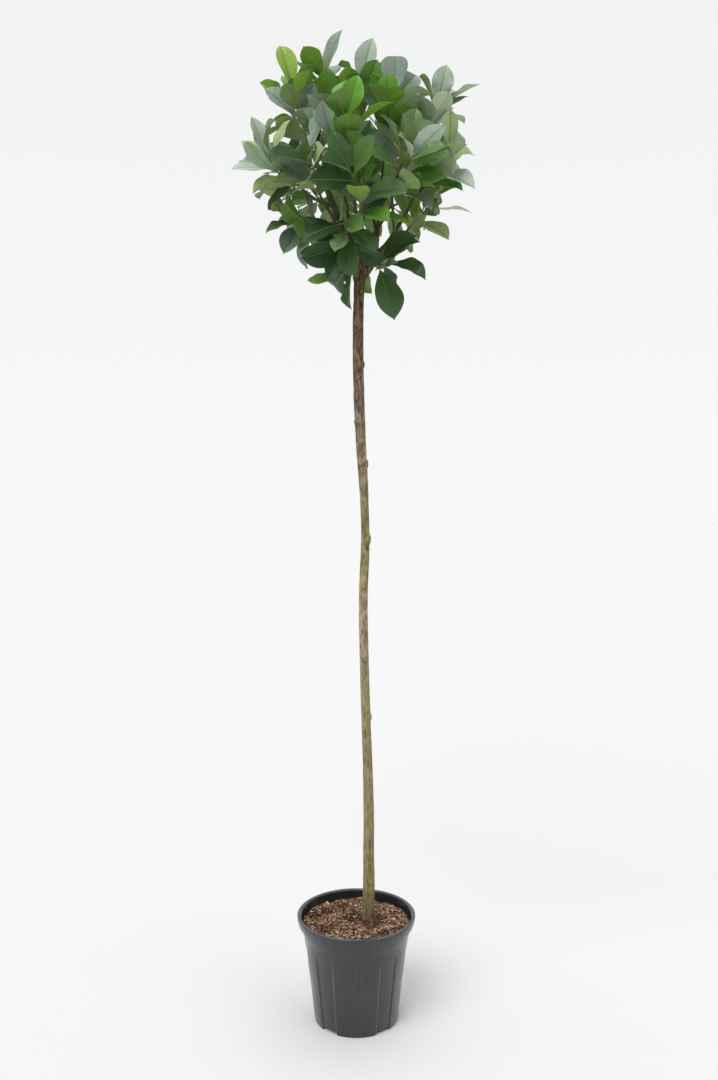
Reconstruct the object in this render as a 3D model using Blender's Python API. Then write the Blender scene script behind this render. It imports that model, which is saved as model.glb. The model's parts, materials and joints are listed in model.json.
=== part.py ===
"""A potted cherry laurel grown as a standard: a round, leafy head on one clear stem, in a black nursery pot.

Metres, +Z up, with the front towards -Y. The origin is the centre of the pot's flat underside.
The stem forks under the crown into boughs. Each mass of foliage grows on from one bough's tip, or from the
stem, by one seeded rule: a leading shoot, a few side shoots, and leaves in a spiral along them.
"""

import math
import random
from dataclasses import dataclass, field

import bmesh
import bpy
from mathutils import Vector
from mathutils.bvhtree import BVHTree
from mathutils.geometry import intersect_point_line

# Pieces that touch on the real plant keep this gap
GAP = 0.0003
GAP_CUT = 0.0005
UP = Vector((0.0, 0.0, 1.0))

# Pot: height and radius of the outside wall from the foot to the top of the rim
POT_OUTSIDE = (
    (0.002, 0.1075),
    (0.020, 0.1105),
    (0.090, 0.1178),
    (0.145, 0.1250),
    (0.195, 0.1298),
    (0.199, 0.1302),
    (0.215, 0.1328),
    (0.230, 0.1368),
    (0.2440, 0.1395),
    (0.2455, 0.1458),
    (0.2630, 0.1489),
    (0.2665, 0.1468),
)
RIM_INSIDE = ((0.2665, 0.1415), (0.2640, 0.1388), (0.2440, 0.1371))
POT_WALL = 0.0024
POT_FLOOR = 0.0095
POT_CHANNEL = 0.006
POT_DISC_RADIUS = 0.028
POT_FOOT_INSIDE = 0.0965
POT_FOOT_OUTSIDE = 0.1055
FOOT_ROUND = 0.001
FLOOR_CORNER = 0.0016
POT_INSIDE_TOP = 0.24
POT_SHARP = 35

# Flutes pressed into the pot's wall, in degrees either side of the front
FLUTE_PLACES = (38, 84, 130)
FLUTE_FLOOR = 21.0
FLUTE_EDGE = 1.6
FLUTE_DEPTH = 0.0026
FLUTE_TOP = 0.195
PLAIN_STEP = 14.0

DRAIN_COUNT = 6
DRAIN_RADIUS = 0.0065
DRAIN_CIRCLE = 0.080
DRAIN_SIDES = 10

# Soil: a plug of bark and peat that fills the pot to just under its rim
SOIL_LEVEL = 0.2465
SOIL_SIDES = 32
SOIL_SLACK = 0.0015
SOIL_LUMPS = 0.0026
SOIL_SINK = 0.6
SOIL_CORNER = 0.001
SOIL_WALL_TOP = 0.2365
SOIL_BRIM = 0.002
# Rings of the soil's top: radius, and how far each shifts towards the stem's foot
SOIL_RINGS = ((0.105, 0.1), (0.066, 0.6))
# Waves of the soil's top: how many a metre right and back, and their start
SOIL_WAVES = ((61, 0, 1.2), (0, 53, -0.7), (97, 97, 0.0))
SOIL_SHARP = 50
FOOT_PATCH = 0.030
FOOT_FADE = 0.030

# Stem: height, offset right and offset back of its centre line
STEM_LINE = (
    (SOIL_LEVEL + GAP, 0.0315, 0.0120),
    (0.560, 0.0306, 0.0110),
    (0.870, 0.0213, 0.0095),
    (1.065, 0.0176, 0.0080),
    (1.210, 0.0220, 0.0070),
    (1.310, 0.0196, 0.0060),
    (1.430, 0.0128, 0.0050),
    (1.560, 0.0068, 0.0045),
    (1.740, 0.0048, 0.0040),
    (1.850, 0.0085, 0.0030),
    (1.908, 0.0112, 0.0020),
)
# Height and radius: flared at the foot, slim below the graft at 1.40, thick above it, swollen at the fork
STEM_RADII = (
    (SOIL_LEVEL, 0.0178),
    (0.256, 0.0162),
    (0.290, 0.0150),
    (0.430, 0.0138),
    (0.660, 0.0120),
    (0.960, 0.0112),
    (1.310, 0.0101),
    (1.400, 0.0118),
    (1.500, 0.0132),
    (1.740, 0.0134),
    (1.795, 0.0122),
    (1.850, 0.0150),
    (1.890, 0.0162),
    (1.902, 0.0140),
    (1.908, 0.0080),
)
STEM_SIDES = 10
STEM_STATIONS = 27
STEM_FOOT_SHARES = (0.0, 0.006, 0.016, 0.032)
STEM_HEAD_SHARES = (0.955, 0.968, 0.980, 0.9895, 0.9965, 1.0)
STEM_SHARP = 60
STEM_POINTS = 200
STEM_LENGTH = STEM_LINE[-1][0] - STEM_LINE[0][0]
ROOT_LOBES = 5
ROOT_LOBE_DEPTH = 0.10
ROOT_FLARE_HEIGHT = 0.035
SCAR_SINK = 0.45
SCAR_STRETCH = 1.25
# Scars of pruned shoots: height, azimuth and radius
SCARS = (
    (0.770, -20, 0.0080),
    (1.215, -10, 0.0100),
    (1.400, 15, 0.0085),
    (1.452, -75, 0.0070),
    (1.500, -150, 0.0075),
    (1.640, 25, 0.0080),
)

BOUGH_SIDES = 6
BOUGH_STATIONS = 5

# Crown: height and widest reach of any leaf from the plant's axis
CROWN_OUTLINE = (
    (1.740, 0.060),
    (1.800, 0.090),
    (1.860, 0.140),
    (1.950, 0.195),
    (2.030, 0.230),
    (2.070, 0.265),
    (2.120, 0.285),
    (2.220, 0.275),
    (2.330, 0.240),
    (2.400, 0.200),
    (2.432, 0.090),
)
CROWN_SEED = 10
CROWN_HEART = Vector((0.010, 0.0, 2.02))
# A leaf may come nearer another mass's shoot than its own by this much, and no more
SPACE_SLACK = 0.045
CLEARANCE = 0.0012

SHOOT_SIDES = 3
SHOOT_STATIONS = 3
SHOOT_TIP_RADIUS = 0.0016
SHOOT_BOW = 0.06
LEAD_SHOOT_RADIUS = 0.0030
SIDE_SHOOT_RADIUS = 0.0022
SIDE_SHOOT_LENGTH = (0.050, 0.080)
SIDE_SHOOT_ANGLE = (35, 60)
SIDE_SHOOT_OUTWARD = 0.5
# Where side shoots start along the leading shoot
SIDE_SHOOT_FIRST = 0.25
SIDE_SHOOT_SPREAD = 0.4
# Leaves on each shoot before the rest go on the leading one
LEAVES_EACH = 4

LEAF_LENGTH = (0.108, 0.138)
LEAF_WIDTH_SHARE = 0.51
LEAF_THICKNESS_SHARE = 0.013
LEAF_WIDEST = 1.25
LEAF_FULLNESS = 0.62
LEAF_MIDDLE = 0.6
LEAF_SHARP = 30
LEAF_LIFTED_EDGE = 0.012
LEAF_ARCH = (8, 42)
LEAF_STATIONS = (0.09, 0.42, 0.80)
PETIOLE_SHARE = 0.09
BARE_SHARE = 0.13
PETIOLE_RADIUS = 0.0013
LEAF_TRIES = 24
SPIRAL = 137.5
LEAF_SPACING = (0.004, 0.0045)
LEAF_ANGLE = (28, 80)
LEAF_ANGLE_PLAY = 14
# A leaf this many places from the tip stands off at the full angle, and one at the tip is small
LEAF_AGED = 6
LEAF_FULL_GROWN = 3
TIP_LEAF_SIZE = 0.80
LEAF_SIZE_GAIN = 0.20
LOOSE_LEAF_SHRINK = 0.15
# How freely a leaf turns round its shoot at its first try, and more by its last
LEAF_TURN = (15, 110)
LEAF_LIFT = (0.3, 1.0)
LEAF_OUTWARD = 0.35
# How far a leaf's upper side turns towards its shoot's tip, the sky and the outside of the crown
LEAF_FACES = (0.1, 0.4, 0.9)
LEAF_ROLL = 28
SIDE_HINT = UP + Vector((0.01, 0.0, 0.0))
LOWEST_LEAF = 0.10


@dataclass
class Bough:
    """One tapering limb, grown from a share of the way along its parent."""

    name: str
    parent: str
    share: float
    azimuth: float
    rise: float
    length: float
    bow: float
    foot_radius: float
    tip_radius: float


BOUGHS = (
    Bough("bough_left", "stem", 0.985, -177, 66, 0.285, 0.012, 0.0105, 0.0052),
    Bough("bough_left_outer", "bough_left", 0.55, -161, 25, 0.096, 0.010, 0.0042, 0.0030),
    Bough("bough_left_low", "bough_left", 0.25, 176, 23, 0.074, 0.008, 0.0040, 0.0030),
    Bough("bough_left_front", "bough_left", 0.40, -124, 29, 0.102, 0.010, 0.0040, 0.0030),
    Bough("bough_top_left", "bough_left", 0.14, 136, 78, 0.222, 0.010, 0.0046, 0.0032),
    Bough("bough_top_right", "stem_fork", 0.80, -32, 85, 0.245, 0.006, 0.0052, 0.0034),
    Bough("bough_top_centre", "bough_top_right", 0.22, 146, 77, 0.200, 0.010, 0.0040, 0.0030),
    Bough("bough_right_top", "bough_top_right", 0.50, 7, 63, 0.120, 0.010, 0.0036, 0.0028),
    Bough("bough_right", "stem_fork", 0.96, -11, 56, 0.150, 0.010, 0.0058, 0.0036),
    Bough("bough_right_low", "bough_right", 0.35, 40, 26, 0.062, 0.006, 0.0038, 0.0030),
    Bough("bough_right_front", "bough_right", 0.45, -97, 43, 0.100, 0.012, 0.0038, 0.0030),
    Bough("bough_front_top", "stem", 0.985, -104, 68, 0.185, 0.014, 0.0060, 0.0034),
    Bough("bough_front", "bough_front_top", 0.45, -79, 23, 0.063, 0.008, 0.0040, 0.0030),
    Bough("bough_front_low", "stem", 0.968, -113, 44, 0.088, 0.010, 0.0046, 0.0032),
    Bough("bough_back", "stem", 0.985, 91, 56, 0.158, 0.014, 0.0066, 0.0036),
    Bough("bough_back_left", "bough_back", 0.25, 145, 52, 0.162, 0.014, 0.0046, 0.0032),
    Bough("bough_back_right", "bough_back", 0.42, 33, 51, 0.140, 0.012, 0.0042, 0.0032),
    Bough("bough_back_top", "bough_back", 0.62, 46, 78, 0.166, 0.010, 0.0040, 0.0030),
    Bough("bough_back_low", "stem", 0.965, 100, 50, 0.089, 0.010, 0.0046, 0.0032),
)
# The right half of the fork, one solid with the stem
FORK = Bough("stem_fork", "stem", 0.964, -8, 50, 0.076, 0.004, 0.0120, 0.0092)


@dataclass
class Mass:
    """One mass of foliage: its leading shoot, how far its leaves lift or droop, and how many it has."""

    name: str
    limb: str
    azimuth: float
    rise: float
    length: float
    side_shoots: int
    leaves: int
    lift: float
    share: float = 1.0
    shoots: list = field(default_factory=list)
    grown: list = field(default_factory=list)


MASSES = (
    Mass("foliage_left_top", "bough_left", 165, 71, 0.140, 2, 16, 0.80),
    Mass("foliage_left", "bough_left_outer", 176, 36, 0.090, 1, 14, 0.30),
    Mass("foliage_left_low", "bough_left_low", 170, 20, 0.060, 1, 13, -0.15),
    Mass("foliage_left_front", "bough_left_front", -118, 62, 0.105, 1, 14, 0.45),
    Mass("foliage_top_left", "bough_top_left", 150, 77, 0.205, 2, 16, 0.90),
    Mass("foliage_top", "bough_top_centre", 90, 84, 0.165, 2, 16, 0.90),
    Mass("foliage_top_front", "bough_top_right", -60, 72, 0.120, 1, 15, 0.80),
    Mass("foliage_right_top", "bough_right_top", 0, 57, 0.148, 1, 14, 0.65),
    Mass("foliage_right", "bough_right", -12, 48, 0.125, 1, 14, 0.20),
    Mass("foliage_right_low", "bough_right_low", 20, 48, 0.075, 1, 12, 0.10),
    Mass("foliage_right_front", "bough_right_front", -51, 64, 0.107, 1, 14, 0.45),
    Mass("foliage_front_top", "bough_front_top", -103, 61, 0.137, 1, 15, 0.40),
    Mass("foliage_front", "bough_front", -80, 66, 0.105, 1, 13, 0.50),
    Mass("foliage_front_low", "bough_front_low", -103, 40, 0.073, 1, 13, -0.70),
    Mass("foliage_back_left", "bough_back_left", 144, 50, 0.144, 2, 15, 0.20),
    Mass("foliage_back", "bough_back", 90, 31, 0.117, 2, 14, 0.05),
    Mass("foliage_back_right", "bough_back_right", 31, 39, 0.112, 1, 14, 0.20),
    Mass("foliage_back_top", "bough_back_top", 58, 71, 0.148, 2, 15, 0.50),
    Mass("foliage_back_low", "bough_back_low", 112, 14, 0.083, 1, 12, -0.20),
    Mass("foliage_fork_right", "stem_fork", -35, 0, 0.055, 0, 8, -0.55, 0.55),
    Mass("foliage_fork_left", "stem", 170, 15, 0.050, 0, 6, -0.50, 0.972),
)

@dataclass
class FirstLeaf:
    """A leaf that grows before the others: its place, which way it runs and faces, and its length."""

    mass: str
    share: float
    azimuth: float
    rise: float
    length: float
    face_azimuth: float
    face_rise: float


# The leaves that show most in the crown. The rule fills in round them
FIRST_LEAVES = (
    FirstLeaf("foliage_top_left", 1.00, -50, 67, 0.122, -125, 10),
    FirstLeaf("foliage_top_left", 0.98, 175, 60, 0.110, -110, 25),
    FirstLeaf("foliage_top_left", 0.66, -95, 66, 0.104, -90, 10),
    FirstLeaf("foliage_left_top", 1.00, -145, 76, 0.126, -60, 0),
    FirstLeaf("foliage_left_top", 0.60, -165, 44, 0.118, -95, 40),
    FirstLeaf("foliage_top", 1.00, -75, 68, 0.118, -110, 10),
    FirstLeaf("foliage_top_front", 1.00, 60, 78, 0.124, -90, 10),
    FirstLeaf("foliage_top_front", 0.95, 29, 52, 0.118, -80, 20),
    FirstLeaf("foliage_top_front", 0.66, -100, 62, 0.102, -90, 15),
    FirstLeaf("foliage_right_top", 1.00, -65, 62, 0.103, -90, 10),
    FirstLeaf("foliage_right_top", 0.96, -12, 38, 0.122, 170, 60),
    FirstLeaf("foliage_right_top", 0.80, -30, 36, 0.110, 150, 55),
    FirstLeaf("foliage_left", 1.00, -125, 62, 0.112, -60, 10),
    FirstLeaf("foliage_left", 0.92, 170, 48, 0.104, -80, 50),
    FirstLeaf("foliage_left", 0.80, -160, 4, 0.104, -90, 45),
    FirstLeaf("foliage_left", 0.45, -155, -18, 0.092, -90, 50),
    FirstLeaf("foliage_left_low", 0.90, -150, -12, 0.100, -90, 55),
    FirstLeaf("foliage_left_low", 0.70, -140, -45, 0.100, -90, 35),
    FirstLeaf("foliage_right", 1.00, 40, 24, 0.105, -90, 40),
    FirstLeaf("foliage_right", 0.98, -80, 66, 0.108, -90, 5),
    FirstLeaf("foliage_right", 0.70, -35, -22, 0.105, -90, 30),
    FirstLeaf("foliage_right_low", 0.90, 16, 14, 0.125, 90, 85),
    FirstLeaf("foliage_right_low", 0.50, -40, -25, 0.104, -90, 40),
    FirstLeaf("foliage_front_top", 0.70, 178, 48, 0.120, -90, 20),
    FirstLeaf("foliage_fork_right", 0.40, -35, -70, 0.138, -80, 15),
    FirstLeaf("foliage_fork_right", 0.80, -25, -14, 0.110, -90, 50),
    FirstLeaf("foliage_fork_right", 0.95, -50, 28, 0.100, -100, 40),
    FirstLeaf("foliage_fork_right", 0.65, 60, -45, 0.095, -90, 30),
    FirstLeaf("foliage_fork_left", 0.40, -160, -78, 0.095, -150, 10),
    FirstLeaf("foliage_left_top", 0.60, -60, 45, 0.095, -80, 10),
    FirstLeaf("foliage_top", 0.85, -60, 50, 0.100, -90, 15),
    FirstLeaf("foliage_top_front", 0.40, -105, 45, 0.095, -90, 20),
    FirstLeaf("foliage_right_top", 0.50, -50, 35, 0.105, -90, 15),
    FirstLeaf("foliage_front_top", 1.00, -60, 62, 0.100, -90, 10),
    FirstLeaf("foliage_front", 0.30, -100, 20, 0.105, 90, 80),
    FirstLeaf("foliage_front", 0.10, -18, -6, 0.120, -60, 50),
    FirstLeaf("foliage_right_front", 0.95, -65, 62, 0.095, -100, 10),
    FirstLeaf("foliage_right_front", 0.60, -120, 12, 0.120, -90, 30),
    FirstLeaf("foliage_left_front", 0.70, -160, 12, 0.110, -90, 35),
    FirstLeaf("foliage_left_front", 0.20, -150, 30, 0.100, -90, 20),
    FirstLeaf("foliage_right", 0.15, -100, 58, 0.098, 90, 0),
    FirstLeaf("foliage_right", 0.65, -45, 35, 0.100, -90, 20),
    FirstLeaf("foliage_right", 0.40, -35, -5, 0.095, -90, 40),
    FirstLeaf("foliage_front_low", 0.75, -35, -30, 0.105, -90, 40),
    FirstLeaf("foliage_front_low", 0.85, -165, -15, 0.110, -90, 40),
    FirstLeaf("foliage_fork_right", 0.35, -45, 32, 0.125, -90, 35),
    FirstLeaf("foliage_fork_left", 0.45, -155, 22, 0.135, -95, 35),
)
FIRST_LEAF_ARCH = 20

BARK_COLOUR = (0.115, 0.085, 0.050)
BOUGH_COLOUR = (0.060, 0.042, 0.028)
POT_COLOUR = (0.022, 0.024, 0.027)
SOIL_COLOUR = (0.105, 0.048, 0.025)
LEAF_COLOURS = ((0.030, 0.085, 0.022), (0.045, 0.120, 0.028), (0.022, 0.062, 0.030))


def clear_scene():
    for obj in list(bpy.data.objects):
        bpy.data.objects.remove(obj)


def material(name, colour, roughness):
    made = bpy.data.materials.new(name)
    made.use_nodes = True
    shader = made.node_tree.nodes["Principled BSDF"]
    shader.inputs["Base Color"].default_value = (*colour, 1.0)
    shader.inputs["Roughness"].default_value = roughness
    shader.inputs["Metallic"].default_value = 0.0
    return made


def new_object(name, points, faces, look=None):
    mesh = bpy.data.meshes.new(name)
    mesh.from_pydata([tuple(p) for p in points], [], faces)
    shell = bmesh.new()
    shell.from_mesh(mesh)
    bmesh.ops.recalc_face_normals(shell, faces=shell.faces)
    shell.to_mesh(mesh)
    shell.free()
    obj = bpy.data.objects.new(name, mesh)
    bpy.context.scene.collection.objects.link(obj)
    if look:
        mesh.materials.append(look)
    return obj


def shade(obj, sharp_degrees):
    obj.data.shade_smooth()
    obj.data.set_sharp_from_angle(angle=math.radians(sharp_degrees))


def keep_main_body(obj):
    """Drops loose scraps, and fills hollows that joining has sealed, by keeping only the largest shell."""
    shell = bmesh.new()
    shell.from_mesh(obj.data)
    unseen = set(shell.verts)
    bodies = []
    while unseen:
        body = {unseen.pop()}
        edge_of_body = list(body)
        while edge_of_body:
            vert = edge_of_body.pop()
            for edge in vert.link_edges:
                other = edge.other_vert(vert)
                if other in unseen:
                    unseen.remove(other)
                    body.add(other)
                    edge_of_body.append(other)
        bodies.append(body)
    bodies.sort(key=len)
    scraps = [vert for body in bodies[:-1] for vert in body]
    bmesh.ops.delete(shell, geom=scraps, context="VERTS")
    shell.to_mesh(obj.data)
    shell.free()


def apply_modifiers(obj):
    graph = bpy.context.evaluated_depsgraph_get()
    made = bpy.data.meshes.new_from_object(obj.evaluated_get(graph))
    obj.modifiers.clear()
    obj.data = made


def boolean(obj, operation, others, solver="EXACT"):
    """Joins these objects to obj, or cuts them from it, in one Boolean, and removes them."""
    group = bpy.data.collections.new(f"{obj.name}_{operation.lower()}")
    bpy.context.scene.collection.children.link(group)
    for other in others:
        group.objects.link(other)
        bpy.context.scene.collection.objects.unlink(other)
    modifier = obj.modifiers.new(operation.title(), "BOOLEAN")
    modifier.operation = operation
    modifier.solver = solver
    modifier.operand_type = "COLLECTION"
    modifier.collection = group
    apply_modifiers(obj)
    for other in others:
        bpy.data.objects.remove(other)
    bpy.data.collections.remove(group)
    keep_main_body(obj)


def interpolate(table, at):
    """The value at this height in a table of (height, value) pairs."""
    if at <= table[0][0]:
        return table[0][1]
    for (low, first), (high, second) in zip(table, table[1:]):
        if at <= high:
            return first + (second - first) * (at - low) / (high - low)
    return table[-1][1]


def direction(azimuth, rise):
    """Azimuth runs from +X towards +Y, and rise is above the level, both in degrees."""
    a = math.radians(azimuth)
    r = math.radians(rise)
    return Vector((math.cos(a) * math.cos(r), math.sin(a) * math.cos(r), math.sin(r)))


def smooth_curve(knots, share):
    """A point on the smooth curve through these knots, which lie at even shares of it."""
    along = min(max(share, 0.0), 1.0) * (len(knots) - 1)
    first = min(int(along), len(knots) - 2)
    t = along - first
    before = knots[max(first - 1, 0)]
    after = knots[min(first + 2, len(knots) - 1)]
    start, end = knots[first], knots[first + 1]
    pull, push = (end - before) / 2, (after - start) / 2
    return (
        start * (2 * t**3 - 3 * t**2 + 1)
        + pull * (t**3 - 2 * t**2 + t)
        + end * (3 * t**2 - 2 * t**3)
        + push * (t**3 - t**2)
    )


def along_line(line, share):
    """A point this share of the way along a line of evenly spaced points."""
    at = min(max(share, 0.0), 1.0) * (len(line) - 1)
    first = min(int(at), len(line) - 2)
    return line[first].lerp(line[first + 1], at - first)


def line_direction(line, share):
    return (along_line(line, share + 0.02) - along_line(line, share - 0.02)).normalized()


def bent_line(start, towards, length, bow, stations):
    """A line that leaves flatter than it ends: it bows down by this much in its middle."""
    end = start + towards * length
    middle = (start + end) / 2 - UP * 2 * bow
    shares = [k / stations for k in range(stations + 1)]
    return [start * (1 - s) ** 2 + middle * 2 * s * (1 - s) + end * s**2 for s in shares]


def tube(line, radii, sides):
    """The points and faces of a round limb with flat ends, and with no twist along it."""
    points, faces = [], []
    side = (line[1] - line[0]).cross(Vector((0.0, 1.0, 0.0))).normalized()
    for k, (centre, radius) in enumerate(zip(line, radii)):
        ahead = (line[min(k + 1, len(line) - 1)] - line[max(k - 1, 0)]).normalized()
        side = (side - ahead * side.dot(ahead)).normalized()
        other = ahead.cross(side)
        for n in range(sides):
            turn = math.tau * n / sides
            points.append(centre + (side * math.cos(turn) + other * math.sin(turn)) * radius)
    for k in range(len(line) - 1):
        for n in range(sides):
            m = (n + 1) % sides
            low, high = k * sides, (k + 1) * sides
            faces.append((low + n, low + m, high + m, high + n))
    faces.append(tuple(range(sides))[::-1])
    faces.append(tuple(range(len(points) - sides, len(points))))
    return points, faces


def flute_share(angle):
    """How deep the wall is pressed in at this angle from the front, from 0 to 1."""
    for place in FLUTE_PLACES:
        off = abs(abs(angle) - place)
        if off <= FLUTE_FLOOR / 2:
            return 1.0
        if off < FLUTE_FLOOR / 2 + FLUTE_EDGE:
            return 1.0 - (off - FLUTE_FLOOR / 2) / FLUTE_EDGE
    return 0.0


def pot_angles():
    """Angles from the front round the pot: the edges of each flute, and even steps between them."""
    edges = []
    for place in sorted([*FLUTE_PLACES, *(-place for place in FLUTE_PLACES)]):
        reach = FLUTE_FLOOR / 2
        edges += [place - reach - FLUTE_EDGE, place - reach, place + reach, place + reach + FLUTE_EDGE]
    angles = []
    for first, second in zip(edges, [*edges[1:], edges[0] + 360]):
        steps = max(1, round((second - first) / PLAIN_STEP))
        angles += [first + (second - first) * k / steps for k in range(steps)]
    return [(angle + 180) % 360 - 180 for angle in angles]


def lathe(rings, angles, radius_at):
    """The points and faces of a turned solid, closed by a centre point at each end."""
    points, faces = [Vector((0.0, 0.0, rings[0][0]))], []
    count = len(angles)
    for ring in rings[1:-1]:
        for angle in angles:
            height, radius = radius_at(ring, angle)
            turn = math.radians(angle - 90)
            points.append(Vector((radius * math.cos(turn), radius * math.sin(turn), height)))
    points.append(Vector((0.0, 0.0, rings[-1][0])))
    for n in range(count):
        m = (n + 1) % count
        faces.append((0, 1 + m, 1 + n))
        faces.append((len(points) - 1, len(points) - 1 - count + n, len(points) - 1 - count + m))
    for k in range(len(rings) - 3):
        for n in range(count):
            m = (n + 1) % count
            low, high = 1 + k * count, 1 + (k + 1) * count
            faces.append((low + n, low + m, high + m, high + n))
    return points, faces


def pot_inside():
    """Height and radius of the pot's inner wall, from its floor up to the rim."""
    wall = [ring for ring in POT_OUTSIDE if POT_FLOOR < ring[0] < POT_INSIDE_TOP]
    wall = [(height, radius - POT_WALL) for height, radius in wall]
    return [(POT_FLOOR, wall[0][1] - FLOOR_CORNER), *wall]


def pot_wall_point(ring, angle):
    """Presses the flutes into a ring of the wall, and lifts the foot over them as a drain notch."""
    height, radius = ring
    depth = flute_share(angle) if radius >= POT_FOOT_INSIDE - FOOT_ROUND else 0.0
    if height <= FLUTE_TOP and radius >= POT_FOOT_OUTSIDE:
        radius -= FLUTE_DEPTH * depth
    if height < POT_CHANNEL:
        height += (POT_CHANNEL - height / 2) * depth
    return height, radius


def make_pot(look):
    under = [
        (0.0, 0.0),
        (0.0, POT_DISC_RADIUS),
        (POT_CHANNEL, POT_DISC_RADIUS + FOOT_ROUND),
        (POT_CHANNEL, POT_FOOT_INSIDE - FOOT_ROUND),
        (0.0, POT_FOOT_INSIDE),
        (0.0, POT_FOOT_OUTSIDE),
    ]
    inside = [*RIM_INSIDE, *reversed(pot_inside())]
    rings = [*under, *POT_OUTSIDE, *inside, (POT_FLOOR, 0.0)]
    points, faces = lathe(rings, pot_angles(), pot_wall_point)
    pot = new_object("pot", points, faces, look)
    drains = []
    for k in range(DRAIN_COUNT):
        centre = direction(360 * (k + 0.5) / DRAIN_COUNT, 0) * DRAIN_CIRCLE
        line = [centre, centre + UP * 2 * POT_FLOOR]
        drains.append(new_object(f"drain_{k}", *tube(line, [DRAIN_RADIUS] * 2, DRAIN_SIDES)))
    boolean(pot, "DIFFERENCE", drains)
    shade(pot, POT_SHARP)


def soil_height(x, y):
    """The uneven top of the soil, level round the stem's foot."""
    foot = math.hypot(x - STEM_LINE[0][1], y - STEM_LINE[0][2])
    fade = min(1.0, max(0.0, (foot - FOOT_PATCH) / FOOT_FADE))
    lumps = sum(math.sin(right * x + back * y + start) for right, back, start in SOIL_WAVES)
    return SOIL_LEVEL + SOIL_LUMPS * fade * (lumps / 2 - SOIL_SINK)


def make_soil(look):
    inside = pot_inside()
    wall = [(POT_FLOOR + GAP, inside[0][1] - SOIL_CORNER)]
    wall += [(height, radius) for height, radius in inside[3:] if height < SOIL_WALL_TOP]
    rings = [(POT_FLOOR + GAP, 0.0, 0.0)]
    for height, radius in wall:
        pressed = FLUTE_DEPTH if height <= FLUTE_TOP else 0.0
        rings.append((height, radius - pressed - SOIL_SLACK, 0.0))
    brim = interpolate(RIM_INSIDE[::-1], SOIL_LEVEL) - SOIL_SLACK
    rings += [
        (None, brim - SOIL_BRIM, 0.0),
        *((None, radius, shift) for radius, shift in SOIL_RINGS),
        (None, FOOT_PATCH, 1.0),
        (SOIL_LEVEL, 0.0, 1.0),
    ]
    angles = [360 * k / SOIL_SIDES - 180 for k in range(SOIL_SIDES)]
    points, faces = lathe([ring[:2] for ring in rings], angles, lambda ring, _: (ring[0] or 0.0, ring[1]))
    foot = Vector((STEM_LINE[0][1], STEM_LINE[0][2], 0.0))
    shifts = [0.0, *(ring[2] for ring in rings[1:-1] for _ in angles), 1.0]
    for point, shift in zip(points, shifts):
        point += foot * shift
        if point.z < POT_FLOOR or shift > 0:
            point.z = soil_height(point.x, point.y)
    soil = new_object("soil", points, faces, look)
    shade(soil, SOIL_SHARP)


def stem_point(share):
    height = STEM_LINE[0][0] + STEM_LENGTH * share
    knots = [Vector(knot) for knot in STEM_LINE]
    for n, (low, high) in enumerate(zip(knots, knots[1:])):
        if height <= high.x + 1e-9:
            break
    at = smooth_curve(knots, (n + (height - low.x) / (high.x - low.x)) / (len(knots) - 1))
    return Vector((at.y, at.z, height))


def stem_shares():
    """Shares of the stem's height: close together at the foot and the head, even between."""
    foot, head = STEM_FOOT_SHARES, STEM_HEAD_SHARES
    steps = STEM_STATIONS - len(foot) - len(head)
    even = [foot[-1] + (head[0] - foot[-1]) * (k + 1) / (steps + 1) for k in range(steps)]
    return [*foot, *even, *head]


def stem_tube(extra=0.0):
    shares = stem_shares()
    line = [stem_point(share) for share in shares]
    radii = [interpolate(STEM_RADII, point.z) + extra for point in line]
    points, faces = tube(line, radii, STEM_SIDES)
    for k, centre in enumerate(line):
        fade = max(0.0, 1 - (centre.z - SOIL_LEVEL) / ROOT_FLARE_HEIGHT)
        for n in range(STEM_SIDES):
            lobe = ROOT_LOBE_DEPTH * fade * math.cos(math.tau * n * ROOT_LOBES / STEM_SIDES)
            index = k * STEM_SIDES + n
            points[index] = centre + (points[index] - centre) * (1 + lobe)
            if k == 0:
                points[index].z = centre.z
    return points, faces


def scar(number, height, azimuth, radius):
    """The low round knob of a pruned shoot, half sunk in the stem."""
    centre = stem_point((height - STEM_LINE[0][0]) / STEM_LENGTH)
    centre += direction(azimuth, 0) * (interpolate(STEM_RADII, height) - radius * SCAR_SINK)
    shell = bmesh.new()
    bmesh.ops.create_icosphere(shell, subdivisions=1, radius=radius)
    points = [centre + Vector((v.co.x, v.co.y, v.co.z * SCAR_STRETCH)) for v in shell.verts]
    faces = [tuple(v.index for v in face.verts) for face in shell.faces]
    shell.free()
    return new_object(f"scar_{number}", points, faces)


def make_stem(limbs, look):
    stem = new_object("stem", *stem_tube(), look)
    fork = new_object("stem_fork_join", *tube(*limbs["stem_fork"], STEM_SIDES))
    scars = [scar(number, *row) for number, row in enumerate(SCARS)]
    boolean(stem, "UNION", [fork, *scars])
    shade(stem, STEM_SHARP)


def limb_lines():
    """Each limb's centre line and radii, by name, from its parent outwards."""
    limbs = {"stem": ([stem_point(k / STEM_POINTS) for k in range(STEM_POINTS + 1)], [])}
    for bough in (FORK, *BOUGHS):
        start = along_line(limbs[bough.parent][0], bough.share)
        line = bent_line(
            start, direction(bough.azimuth, bough.rise), bough.length, bough.bow, BOUGH_STATIONS
        )
        shares = [k / BOUGH_STATIONS for k in range(BOUGH_STATIONS + 1)]
        radii = [bough.foot_radius + (bough.tip_radius - bough.foot_radius) * s for s in shares]
        limbs[bough.name] = (line, radii)
    return limbs


def fat_limb(name, limbs):
    """A limb made fatter and longer by a little more than the gap, to cut away what grows from it."""
    if name == "stem":
        return stem_tube(GAP_CUT)
    line, radii = limbs[name]
    sides = STEM_SIDES if name == FORK.name else BOUGH_SIDES
    longer = [*line[:-1], line[-1] + (line[-1] - line[-2]).normalized() * GAP_CUT]
    return tube(longer, [radius + GAP_CUT for radius in radii], sides)


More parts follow.
